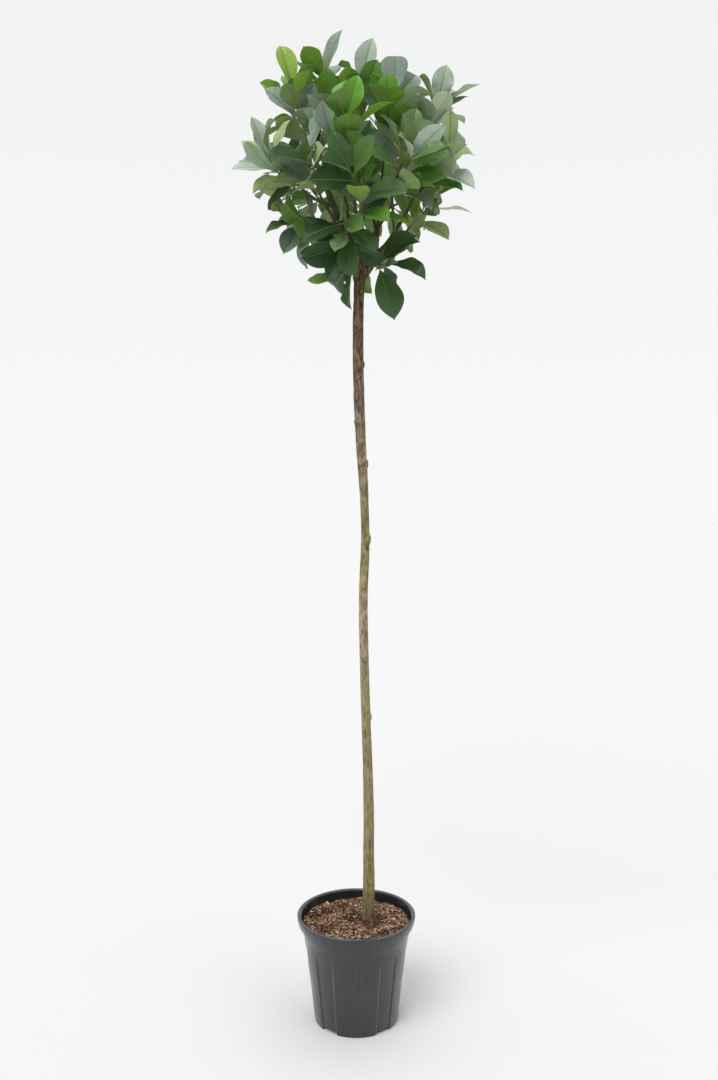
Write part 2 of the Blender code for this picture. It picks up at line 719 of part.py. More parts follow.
def make_boughs(limbs, look):
    """Each bough starts inside its parent, and is cut clear of it and of every bough made before it."""
    earlier = ["stem", FORK.name]
    for bough in BOUGHS:
        made = new_object(bough.name, *tube(*limbs[bough.name], BOUGH_SIDES), look)
        cutters = [new_object(f"cut_by_{name}", *fat_limb(name, limbs)) for name in earlier]
        boolean(made, "DIFFERENCE", cutters)
        shade(made, STEM_SHARP)
        earlier.append(bough.name)


@dataclass
class Leaf:
    """A blade on a short stalk: where it starts, which way it runs and faces, and its size."""

    root: Vector
    along: Vector
    face: Vector
    length: float
    arch: float

    def section(self, share, half_width, edge, keel):
        """Left edge, right edge and keel of the blade at this share of its length."""
        bend = self.arch * share
        run = math.sin(bend) / self.arch
        drop = (1 - math.cos(bend)) / self.arch
        centre = self.root + self.length * (self.along * run - self.face * drop)
        normal = self.face * math.cos(bend) + self.along * math.sin(bend)
        reach = self.along.cross(self.face) * half_width
        return [centre - reach + normal * edge, centre + reach + normal * edge, centre - normal * keel]

    def half_width(self, share):
        """The blade's outline: widest past its middle, then drawn in to a short point."""
        blade = (share - PETIOLE_SHARE) / (1 - PETIOLE_SHARE)
        if blade <= 0:
            return PETIOLE_RADIUS
        full = self.length * LEAF_WIDTH_SHARE / 2
        return max(PETIOLE_RADIUS, full * math.sin(math.pi * blade**LEAF_WIDEST) ** LEAF_FULLNESS)

    def solid(self, start=0.0, extra=0.0):
        """The leaf as points and faces, from this share of its length, made fatter all over by extra."""
        keel = self.length * LEAF_THICKNESS_SHARE + extra
        edge = self.length * LEAF_LIFTED_EDGE + extra
        stations = [start, *(share for share in LEAF_STATIONS if share > start)]
        points = []
        for share in stations:
            points += self.section(share, self.half_width(share) + 2 * extra, edge, keel)
        points.append(self.section(1.0 + 2 * extra / self.length, 0.0, 0.0, 0.0)[0])
        faces = [(2, 1, 0)]
        for k in range(0, 3 * len(stations) - 3, 3):
            for n, m in ((0, 1), (1, 2), (2, 0)):
                faces.append((k + n, k + m, k + 3 + m, k + 3 + n))
        last = len(points) - 1
        faces += [(last - 3 + n, last - 3 + m, last) for n, m in ((0, 1), (1, 2), (2, 0))]
        return points, faces

    def outline(self):
        """Points round the blade, for finding out where it reaches."""
        found = [self.section(1.0, 0.0, 0.0, 0.0)[0]]
        for share in LEAF_STATIONS:
            found += self.section(share, self.half_width(share), 0.0, 0.0)[:2]
        return found


@dataclass
class Placed:
    """A solid already grown, as the later ones see it. A leaf's own mass sees only its blade."""

    mass: str
    whole: BVHTree
    blade: BVHTree
    centre: Vector
    reach: float
    is_leaf: bool


def placed(mass, whole, blade=None):
    points = whole[0]
    centre = sum(points, Vector()) / len(points)
    reach = max((point - centre).length for point in points)
    seen = BVHTree.FromPolygons(*whole)
    return Placed(mass, seen, BVHTree.FromPolygons(*blade) if blade else seen, centre, reach, bool(blade))


def free_of(shape, blade, mass, grown):
    """Whether a shape touches nothing that has grown. Near its own shoot only its blade is tested."""
    centre = sum(shape[0], Vector()) / len(shape[0])
    reach = max((point - centre).length for point in shape[0])
    whole_tree = BVHTree.FromPolygons(*shape)
    blade_tree = BVHTree.FromPolygons(*blade)
    for other in grown:
        if (other.centre - centre).length > other.reach + reach:
            continue
        if other.mass != mass:
            if whole_tree.overlap(other.whole):
                return False
        elif blade_tree.overlap(other.blade):
            return False
    return True


def distance_to_shoot(point, mass):
    """Distance from the straight line between the two ends of a mass's leading shoot."""
    first, last = mass.shoots[0][0][0], mass.shoots[0][0][-1]
    nearest, share = intersect_point_line(point, first, last)
    if share <= 0:
        nearest = first
    elif share >= 1:
        nearest = last
    return (point - nearest).length


def in_crown(points):
    """Whether points keep inside the crown's outline."""
    for point in points:
        if math.hypot(point.x, point.y) > interpolate(CROWN_OUTLINE, point.z):
            return False
        if not CROWN_OUTLINE[0][0] < point.z < CROWN_OUTLINE[-1][0]:
            return False
    return True


def in_own_space(points, mass):
    """Whether points are nearer this mass's leading shoot than any other mass's, give or take a little."""
    for point in points:
        allowed = distance_to_shoot(point, mass) - SPACE_SLACK
        if any(distance_to_shoot(point, other) < allowed for other in MASSES if other is not mass):
            return False
    return True


def shoot_line(start, towards, length):
    """A shoot that curves up a little towards the light."""
    return bent_line(start, towards, length, length * SHOOT_BOW, SHOOT_STATIONS)


def shoot_radii(foot):
    return [foot + (SHOOT_TIP_RADIUS - foot) * k / SHOOT_STATIONS for k in range(SHOOT_STATIONS + 1)]


def lead_shoots(limbs, grown):
    """The leading shoot of each mass. It starts inside its limb, and is cut clear of it when it is made."""
    for mass in MASSES:
        line, radii = limbs[mass.limb]
        start = along_line(line, mass.share)
        foot_radius = radii[-1] if mass.share == 1.0 else LEAD_SHOOT_RADIUS
        if mass.share == 1.0:
            start -= line_direction(line, 1.0) * foot_radius
        shoot = shoot_line(start, direction(mass.azimuth, mass.rise), mass.length)
        mass.shoots.append((shoot, shoot_radii(foot_radius)))
        grown.append(placed(mass.name, tube(*mass.shoots[0], SHOOT_SIDES)))


def side_shoots(mass, rng, grown):
    lead = mass.shoots[0][0]
    for k in range(mass.side_shoots):
        for _ in range(LEAF_TRIES):
            share = SIDE_SHOOT_FIRST + SIDE_SHOOT_SPREAD * (k + rng.random()) / mass.side_shoots
            start = along_line(lead, share)
            ahead = line_direction(lead, share)
            turn = rng.uniform(0, math.tau)
            angle = math.radians(rng.uniform(*SIDE_SHOOT_ANGLE))
            side = ahead.cross(SIDE_HINT).normalized()
            off = side * math.cos(turn) + side.cross(ahead) * math.sin(turn)
            towards = ahead * math.cos(angle) + off * math.sin(angle)
            outward = (start - CROWN_HEART).normalized()
            towards = (towards + outward * SIDE_SHOOT_OUTWARD).normalized()
            line = shoot_line(start, towards, rng.uniform(*SIDE_SHOOT_LENGTH))
            radii = shoot_radii(SIDE_SHOOT_RADIUS)
            fat = tube(line[1:], [radius + CLEARANCE for radius in radii[1:]], SHOOT_SIDES)
            if in_crown(line) and in_own_space(line, mass) and free_of(fat, fat, mass.name, grown):
                mass.shoots.append((line, radii))
                grown.append(placed(mass.name, tube(line, radii, SHOOT_SIDES)))
                break


def leaf_places(mass, rng):
    """Which shoot each leaf of a mass grows on, how far from its tip, and at what turn of the spiral."""
    places = []
    turns = [rng.uniform(0, 360) for _ in mass.shoots]
    for rank in range(mass.leaves):
        shoot = rank % len(mass.shoots)
        order = rank // len(mass.shoots)
        shared = len(mass.shoots) * LEAVES_EACH
        if len(mass.shoots) > 1 and rank >= shared:
            shoot, order = 0, rank - shared + LEAVES_EACH
        from_tip = order * (LEAF_SPACING[0] + LEAF_SPACING[1] * order / 2)
        places.append((shoot, order, from_tip, turns[shoot] + SPIRAL * order))
    return places


def turned_leaf(mass, place, loose, rng):
    """A leaf at its place on the spiral, the more freely turned the looser it is."""
    shoot, order, from_tip, turn = place
    line = mass.shoots[shoot][0]
    length = sum((b - a).length for a, b in zip(line, line[1:]))
    share = max(LOWEST_LEAF, 1 - from_tip / length)
    root = along_line(line, share)
    ahead = line_direction(line, share)
    side = ahead.cross(SIDE_HINT).normalized()
    age = min(1.0, order / LEAF_AGED)
    around = math.radians(turn + rng.uniform(-1, 1) * (LEAF_TURN[0] + LEAF_TURN[1] * loose))
    angle = LEAF_ANGLE[0] + (LEAF_ANGLE[1] - LEAF_ANGLE[0]) * age
    angle = math.radians(angle + rng.uniform(-LEAF_ANGLE_PLAY, LEAF_ANGLE_PLAY))
    off = side * math.cos(around) + side.cross(ahead) * math.sin(around)
    along = ahead * math.cos(angle) + off * math.sin(angle)
    outward = (root - CROWN_HEART).normalized()
    along += outward * LEAF_OUTWARD * (1 - mass.lift)
    along = (along + UP * mass.lift * rng.uniform(*LEAF_LIFT)).normalized()
    face = ahead * LEAF_FACES[0] + UP * LEAF_FACES[1] + outward * LEAF_FACES[2]
    face = (face - along * face.dot(along)).normalized()
    roll = math.radians(rng.uniform(-LEAF_ROLL, LEAF_ROLL))
    face = face * math.cos(roll) + along.cross(face) * math.sin(roll)
    grown_share = TIP_LEAF_SIZE + LEAF_SIZE_GAIN * min(1.0, order / LEAF_FULL_GROWN)
    size = rng.uniform(*LEAF_LENGTH) * (1 - LOOSE_LEAF_SHRINK * loose) * grown_share
    return Leaf(root, along, face, size, math.radians(rng.uniform(*LEAF_ARCH)))


def fits(leaf, mass, grown):
    """Whether a leaf keeps to its mass's space and touches nothing that has grown."""
    if not in_own_space(leaf.outline(), mass):
        return False
    return free_of(leaf.solid(0.0, CLEARANCE), leaf.solid(BARE_SHARE, CLEARANCE), mass.name, grown)


def add_leaf(leaf, mass, grown):
    mass.grown.append(leaf)
    grown.append(placed(mass.name, leaf.solid(), leaf.solid(BARE_SHARE)))


def grow_first_leaves(grown):
    by_name = {mass.name: mass for mass in MASSES}
    for row in FIRST_LEAVES:
        mass = by_name[row.mass]
        along = direction(row.azimuth, row.rise)
        face = direction(row.face_azimuth, row.face_rise)
        face = (face - along * face.dot(along)).normalized()
        root = along_line(mass.shoots[0][0], row.share)
        leaf = Leaf(root, along, face, row.length, math.radians(FIRST_LEAF_ARCH))
        if fits(leaf, mass, grown):
            add_leaf(leaf, mass, grown)


def grow_leaf(mass, place, rng, grown):
    """Turns a leaf several ways at its place and keeps the one with the most room, or skips it."""
    best, most_room = None, 0.0
    for attempt in range(LEAF_TRIES):
        leaf = turned_leaf(mass, place, attempt / LEAF_TRIES, rng)
        centre = leaf.section(LEAF_MIDDLE, 0.0, 0.0, 0.0)[0]
        room = min((centre - other.centre).length for other in grown if other.is_leaf)
        if room > most_room and in_crown(leaf.outline()) and fits(leaf, mass, grown):
            best, most_room = leaf, room
    if best:
        add_leaf(best, mass, grown)


def grow_crown(limbs):
    """Grows all masses together, a leaf of each in turn, so that none takes its neighbours' room."""
    grown = [placed("limb", stem_tube(CLEARANCE))]
    for line, radii in (limbs[bough.name] for bough in (FORK, *BOUGHS)):
        grown.append(placed("limb", tube(line, [radius + GAP for radius in radii], BOUGH_SIDES)))
    lead_shoots(limbs, grown)
    dice = {mass.name: random.Random(f"{mass.name} {CROWN_SEED}") for mass in MASSES}
    grow_first_leaves(grown)
    for mass in MASSES:
        side_shoots(mass, dice[mass.name], grown)
    places = {mass.name: leaf_places(mass, dice[mass.name]) for mass in MASSES}
    for rank in range(max(mass.leaves for mass in MASSES)):
        for mass in MASSES:
            if rank < mass.leaves:
                grow_leaf(mass, places[mass.name][rank], dice[mass.name], grown)


def make_mass(mass, limbs, look):
    made = new_object(mass.name, *tube(*mass.shoots[0], SHOOT_SIDES), look)
    boolean(made, "DIFFERENCE", [new_object(f"cut_by_{mass.limb}", *fat_limb(mass.limb, limbs))])
    pieces = [
        new_object(f"{mass.name}_shoot_{n}", *tube(*shoot, SHOOT_SIDES))
        for n, shoot in enumerate(mass.shoots[1:])
    ]
    pieces += [new_object(f"{mass.name}_leaf_{n}", *leaf.solid()) for n, leaf in enumerate(mass.grown)]
    boolean(made, "UNION", pieces, "MANIFOLD")
    shade(made, LEAF_SHARP)


def main():
    clear_scene()
    bark = material("bark", BARK_COLOUR, 0.85)
    young_bark = material("young_bark", BOUGH_COLOUR, 0.75)
    leaves = [material(f"leaf_{n}", colour, 0.4) for n, colour in enumerate(LEAF_COLOURS)]
    limbs = limb_lines()
    make_pot(material("black_plastic", POT_COLOUR, 0.5))
    make_soil(material("bark_soil", SOIL_COLOUR, 0.95))
    make_stem(limbs, bark)
    make_boughs(limbs, young_bark)
    grow_crown(limbs)
    for n, mass in enumerate(MASSES):
        make_mass(mass, limbs, leaves[n % len(leaves)])


main()
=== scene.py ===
import json
import math
import random
from dataclasses import dataclass, field

import bpy
import numpy as np
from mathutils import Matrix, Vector
from mathutils.bvhtree import BVHTree
from mathutils.geometry import intersect_point_line

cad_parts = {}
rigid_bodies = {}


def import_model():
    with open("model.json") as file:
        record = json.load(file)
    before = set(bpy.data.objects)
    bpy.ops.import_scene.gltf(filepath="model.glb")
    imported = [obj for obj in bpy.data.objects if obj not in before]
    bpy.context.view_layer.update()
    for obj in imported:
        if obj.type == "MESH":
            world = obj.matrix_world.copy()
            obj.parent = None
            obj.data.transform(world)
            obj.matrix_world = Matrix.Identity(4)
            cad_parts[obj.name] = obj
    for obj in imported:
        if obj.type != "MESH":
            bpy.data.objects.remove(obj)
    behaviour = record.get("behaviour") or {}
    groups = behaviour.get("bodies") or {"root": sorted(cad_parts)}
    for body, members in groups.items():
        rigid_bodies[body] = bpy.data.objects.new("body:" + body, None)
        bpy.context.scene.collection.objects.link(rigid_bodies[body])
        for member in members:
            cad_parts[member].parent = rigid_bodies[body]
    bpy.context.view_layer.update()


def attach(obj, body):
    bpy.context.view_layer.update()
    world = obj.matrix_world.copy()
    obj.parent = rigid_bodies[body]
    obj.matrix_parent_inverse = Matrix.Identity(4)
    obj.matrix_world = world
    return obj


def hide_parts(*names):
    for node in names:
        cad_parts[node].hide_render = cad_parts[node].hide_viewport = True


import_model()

# Looks of a potted cherry laurel grown as a standard, in metres, +Z up, with the front towards -Y.
# The stem, boughs, shoots and leaves grow by the same seeded rule as the solids, from the same sizes,
# and are carried finer here: bark relief, folded and veined leaves, stalks, buds and small late leaves.

UP = Vector((0.0, 0.0, 1.0))

# Camera: one picture 718 wide and 1080 high, taken from the front at chest height
CAMERA_PLACE = (0.0068, -2.436, 1.403)
CAMERA_TILT = 4.466
CAMERA_LENS = 33.17
SENSOR = 36.0

# Pieces that touch on the real plant keep this gap
GAP = 0.0003
# A line's direction is read this share to either side
LINE_STEP = 0.02
# A table of noise is this long before it repeats
NOISE_LENGTH = 4096
# The Mix node's sockets for the share and the two colours, and its colour output
MIX_SOCKETS = (0, 6, 7)
MIX_RESULT = 2

# Pot: height and radius of the outside wall from the foot up to its shoulder
POT_WALL_OUTSIDE = (
    (0.002, 0.1075),
    (0.020, 0.1105),
    (0.090, 0.1178),
    (0.145, 0.1250),
    (0.195, 0.1298),
    (0.199, 0.1302),
    (0.215, 0.1328),
    (0.230, 0.1368),
)
# The same wall with its shoulder line and its rim, a little rounder than in the solid
POT_OUTSIDE = (
    *POT_WALL_OUTSIDE,
    (0.2430, 0.1393),
    (0.2442, 0.1400),
    (0.2448, 0.1450),
    (0.2458, 0.1462),
    (0.2560, 0.1484),
    (0.2630, 0.1490),
    (0.2655, 0.1486),
    (0.2665, 0.1468),
)
RIM_INSIDE = ((0.2665, 0.1415), (0.2640, 0.1388), (0.2440, 0.1371))
POT_WALL = 0.0024
POT_FLOOR = 0.0095
POT_CHANNEL = 0.006
POT_DISC_RADIUS = 0.028
POT_FOOT_INSIDE = 0.0965
POT_FOOT_OUTSIDE = 0.1055
FOOT_ROUND = 0.001
FLOOR_CORNER = 0.0016
POT_COLUMNS = 360
PROFILE_STEPS = 3
# Radius of the flat middle of the pot's floor and of its underside
POT_MIDDLE = 0.001
# An edge of the pot sharper than this many degrees shows as a crease
POT_CREASE = 28

# Flutes pressed into the pot's wall, in degrees either side of the front
FLUTE_PLACES = (38, 84, 130)
FLUTE_FLOOR = 21.0
FLUTE_EDGE = 1.6
FLUTE_DEPTH = 0.0026
FLUTE_TOP = 0.195
# A flute's floor rounds off this many degrees before its edge
FLUTE_CORNER = 0.3
# How far below and above its top a flute runs out, and where the wall is plain
FLUTE_RUN_OUT = (0.006, 0.001)
FLUTE_PLAIN = 0.01

# Soil: a plug of bark and peat that fills the pot to just under its rim
SOIL_LEVEL = 0.2465
SOIL_LUMPS = 0.0026
SOIL_SINK = 0.6
# Waves of the soil's top: how many a metre right and back, and their start
SOIL_WAVES = ((61, 0, 1.2), (0, 53, -0.7), (97, 97, 0.0))
FOOT_PATCH = 0.030
FOOT_FADE = 0.030
SOIL_BRIM_RADIUS = 0.1362
SOIL_COLUMNS = 120
SOIL_ROWS = 46
# The rows of its top shrink to this share, and its hidden skirt goes in and down by these
SOIL_MIDDLE_SHARE = 0.004
SKIRT_SHARE = 0.96
SKIRT_DEPTH = 0.02
SOIL_CREASE = 60
# Crumbs of the bed: how many a metre, how high they stand, how deep the bed lies, and their noise
CRUMBS_PER_METRE = 260
CRUMB_HEIGHT = 0.0030
BED_SINK = 0.0012
CRUMB_START = 500
CRUMB_PERIOD = 1024
CRUMB_SEED = 3

# Stem: height, offset right and offset back of its centre line
STEM_LINE = (
    (SOIL_LEVEL + GAP, 0.0315, 0.0120),
    (0.560, 0.0306, 0.0110),
    (0.870, 0.0213, 0.0095),
    (1.065, 0.0176, 0.0080),
    (1.210, 0.0220, 0.0070),
    (1.310, 0.0196, 0.0060),
    (1.430, 0.0128, 0.0050),
    (1.560, 0.0068, 0.0045),
    (1.740, 0.0048, 0.0040),
    (1.850, 0.0085, 0.0030),
    (1.908, 0.0112, 0.0020),
)
# Height and radius: flared at the foot, slim below the graft at 1.40, thick above it, swollen at the fork
STEM_RADII = (
    (SOIL_LEVEL, 0.0178),
    (0.256, 0.0162),
    (0.290, 0.0150),
    (0.430, 0.0138),
    (0.660, 0.0120),
    (0.960, 0.0112),
    (1.310, 0.0101),
    (1.400, 0.0118),
    (1.500, 0.0132),
    (1.740, 0.0134),
    (1.795, 0.0122),
    (1.850, 0.0150),
    (1.890, 0.0162),
    (1.902, 0.0140),
    (1.908, 0.0080),
)
STEM_SIDES = 10
STEM_STATIONS = 27
STEM_FOOT_SHARES = (0.0, 0.006, 0.016, 0.032)
STEM_HEAD_SHARES = (0.955, 0.968, 0.980, 0.9895, 0.9965, 1.0)
STEM_POINTS = 200
STEM_HEAD = STEM_LINE[-1][0]
STEM_LENGTH = STEM_HEAD - STEM_LINE[0][0]
STEM_HEAD_RADIUS = STEM_RADII[-3][1]
ROOT_LOBES = 5
ROOT_LOBE_DEPTH = 0.10
ROOT_FLARE_HEIGHT = 0.035
SCAR_SINK = 0.45
SCAR_STRETCH = 1.25
# Scars of pruned shoots: height, azimuth and radius
SCARS = (
    (0.770, -20, 0.0080),
    (1.215, -10, 0.0100),
    (1.400, 15, 0.0085),
    (1.452, -75, 0.0070),
    (1.500, -150, 0.0075),
    (1.640, 25, 0.0080),
)

BOUGH_SIDES = 6
BOUGH_STATIONS = 5

# Crown: height and widest reach of any leaf from the plant's axis
CROWN_OUTLINE = (
    (1.740, 0.060),
    (1.800, 0.090),
    (1.860, 0.140),
    (1.950, 0.195),
    (2.030, 0.230),
    (2.070, 0.265),
    (2.120, 0.285),
    (2.220, 0.275),
    (2.330, 0.240),
    (2.400, 0.200),
    (2.432, 0.090),
)
CROWN_SEED = 10
CROWN_HEART = Vector((0.010, 0.0, 2.02))
# A leaf may come nearer another mass's shoot than its own by this much, and no more
SPACE_SLACK = 0.045
CLEARANCE = 0.0012

SHOOT_SIDES = 3
SHOOT_STATIONS = 3
SHOOT_TIP_RADIUS = 0.0016
SHOOT_BOW = 0.06
LEAD_SHOOT_RADIUS = 0.0030
SIDE_SHOOT_RADIUS = 0.0022
SIDE_SHOOT_LENGTH = (0.050, 0.080)
SIDE_SHOOT_ANGLE = (35, 60)
SIDE_SHOOT_OUTWARD = 0.5
# Where side shoots start along the leading shoot
SIDE_SHOOT_FIRST = 0.25
SIDE_SHOOT_SPREAD = 0.4
# Leaves on each shoot before the rest go on the leading one
LEAVES_EACH = 4

LEAF_LENGTH = (0.108, 0.138)
LEAF_WIDTH_SHARE = 0.51
LEAF_THICKNESS_SHARE = 0.013
LEAF_WIDEST = 1.25
LEAF_FULLNESS = 0.62
LEAF_MIDDLE = 0.6
LEAF_LIFTED_EDGE = 0.012
LEAF_ARCH = (8, 42)
LEAF_STATIONS = (0.09, 0.42, 0.80)
PETIOLE_SHARE = 0.09
BARE_SHARE = 0.13
PETIOLE_RADIUS = 0.0013
LEAF_TRIES = 24
SPIRAL = 137.5
LEAF_SPACING = (0.004, 0.0045)
LEAF_ANGLE = (28, 80)
LEAF_ANGLE_PLAY = 14
# A leaf this many places from the tip stands off at the full angle, and one at the tip is small
LEAF_AGED = 6
LEAF_FULL_GROWN = 3
TIP_LEAF_SIZE = 0.80
LEAF_SIZE_GAIN = 0.20
LOOSE_LEAF_SHRINK = 0.15
# How freely a leaf turns round its shoot at its first try, and more by its last
LEAF_TURN = (15, 110)
LEAF_LIFT = (0.3, 1.0)
LEAF_OUTWARD = 0.35
# How far a leaf's upper side turns towards its shoot's tip, the sky and the outside of the crown
LEAF_FACES = (0.1, 0.4, 0.9)
LEAF_ROLL = 28
SIDE_HINT = UP + Vector((0.01, 0.0, 0.0))
LOWEST_LEAF = 0.10


@dataclass
class Bough:
    """One tapering limb, grown from a share of the way along its parent."""

    name: str
    parent: str
    share: float
    azimuth: float
    rise: float
    length: float
    bow: float
    foot_radius: float
    tip_radius: float


BOUGHS = (
    Bough("bough_left", "stem", 0.985, -177, 66, 0.285, 0.012, 0.0105, 0.0052),
    Bough("bough_left_outer", "bough_left", 0.55, -161, 25, 0.096, 0.010, 0.0042, 0.0030),
    Bough("bough_left_low", "bough_left", 0.25, 176, 23, 0.074, 0.008, 0.0040, 0.0030),
    Bough("bough_left_front", "bough_left", 0.40, -124, 29, 0.102, 0.010, 0.0040, 0.0030),
    Bough("bough_top_left", "bough_left", 0.14, 136, 78, 0.222, 0.010, 0.0046, 0.0032),
    Bough("bough_top_right", "stem_fork", 0.80, -32, 85, 0.245, 0.006, 0.0052, 0.0034),
    Bough("bough_top_centre", "bough_top_right", 0.22, 146, 77, 0.200, 0.010, 0.0040, 0.0030),
    Bough("bough_right_top", "bough_top_right", 0.50, 7, 63, 0.120, 0.010, 0.0036, 0.0028),
    Bough("bough_right", "stem_fork", 0.96, -11, 56, 0.150, 0.010, 0.0058, 0.0036),
    Bough("bough_right_low", "bough_right", 0.35, 40, 26, 0.062, 0.006, 0.0038, 0.0030),
    Bough("bough_right_front", "bough_right", 0.45, -97, 43, 0.100, 0.012, 0.0038, 0.0030),
    Bough("bough_front_top", "stem", 0.985, -104, 68, 0.185, 0.014, 0.0060, 0.0034),
    Bough("bough_front", "bough_front_top", 0.45, -79, 23, 0.063, 0.008, 0.0040, 0.0030),
    Bough("bough_front_low", "stem", 0.968, -113, 44, 0.088, 0.010, 0.0046, 0.0032),
    Bough("bough_back", "stem", 0.985, 91, 56, 0.158, 0.014, 0.0066, 0.0036),
    Bough("bough_back_left", "bough_back", 0.25, 145, 52, 0.162, 0.014, 0.0046, 0.0032),
    Bough("bough_back_right", "bough_back", 0.42, 33, 51, 0.140, 0.012, 0.0042, 0.0032),
    Bough("bough_back_top", "bough_back", 0.62, 46, 78, 0.166, 0.010, 0.0040, 0.0030),
    Bough("bough_back_low", "stem", 0.965, 100, 50, 0.089, 0.010, 0.0046, 0.0032),
)
# The right half of the fork, one solid with the stem
FORK = Bough("stem_fork", "stem", 0.964, -8, 50, 0.076, 0.004, 0.0120, 0.0092)


@dataclass
class Mass:
    """One mass of foliage: its leading shoot, how far its leaves lift or droop, and how many it has."""

    name: str
    limb: str
    azimuth: float
    rise: float
    length: float
    side_shoots: int
    leaves: int
    lift: float
    share: float = 1.0
    shoots: list = field(default_factory=list)
    grown: list = field(default_factory=list)


MASSES = (
    Mass("foliage_left_top", "bough_left", 165, 71, 0.140, 2, 16, 0.80),
    Mass("foliage_left", "bough_left_outer", 176, 36, 0.090, 1, 14, 0.30),
    Mass("foliage_left_low", "bough_left_low", 170, 20, 0.060, 1, 13, -0.15),
    Mass("foliage_left_front", "bough_left_front", -118, 62, 0.105, 1, 14, 0.45),
    Mass("foliage_top_left", "bough_top_left", 150, 77, 0.205, 2, 16, 0.90),
    Mass("foliage_top", "bough_top_centre", 90, 84, 0.165, 2, 16, 0.90),
    Mass("foliage_top_front", "bough_top_right", -60, 72, 0.120, 1, 15, 0.80),
    Mass("foliage_right_top", "bough_right_top", 0, 57, 0.148, 1, 14, 0.65),
    Mass("foliage_right", "bough_right", -12, 48, 0.125, 1, 14, 0.20),
    Mass("foliage_right_low", "bough_right_low", 20, 48, 0.075, 1, 12, 0.10),
    Mass("foliage_right_front", "bough_right_front", -51, 64, 0.107, 1, 14, 0.45),
    Mass("foliage_front_top", "bough_front_top", -103, 61, 0.137, 1, 15, 0.40),
    Mass("foliage_front", "bough_front", -80, 66, 0.105, 1, 13, 0.50),
    Mass("foliage_front_low", "bough_front_low", -103, 40, 0.073, 1, 13, -0.70),
    Mass("foliage_back_left", "bough_back_left", 144, 50, 0.144, 2, 15, 0.20),
    Mass("foliage_back", "bough_back", 90, 31, 0.117, 2, 14, 0.05),
    Mass("foliage_back_right", "bough_back_right", 31, 39, 0.112, 1, 14, 0.20),
    Mass("foliage_back_top", "bough_back_top", 58, 71, 0.148, 2, 15, 0.50),
    Mass("foliage_back_low", "bough_back_low", 112, 14, 0.083, 1, 12, -0.20),
    Mass("foliage_fork_right", "stem_fork", -35, 0, 0.055, 0, 8, -0.55, 0.55),
    Mass("foliage_fork_left", "stem", 170, 15, 0.050, 0, 6, -0.50, 0.972),
)


@dataclass
class FirstLeaf:
    """A leaf that grows before the others: where it is, which way it runs and faces, its length and tone."""

    mass: str
    share: float
    azimuth: float
    rise: float
    length: float
    face_azimuth: float
    face_rise: float
    tone: str


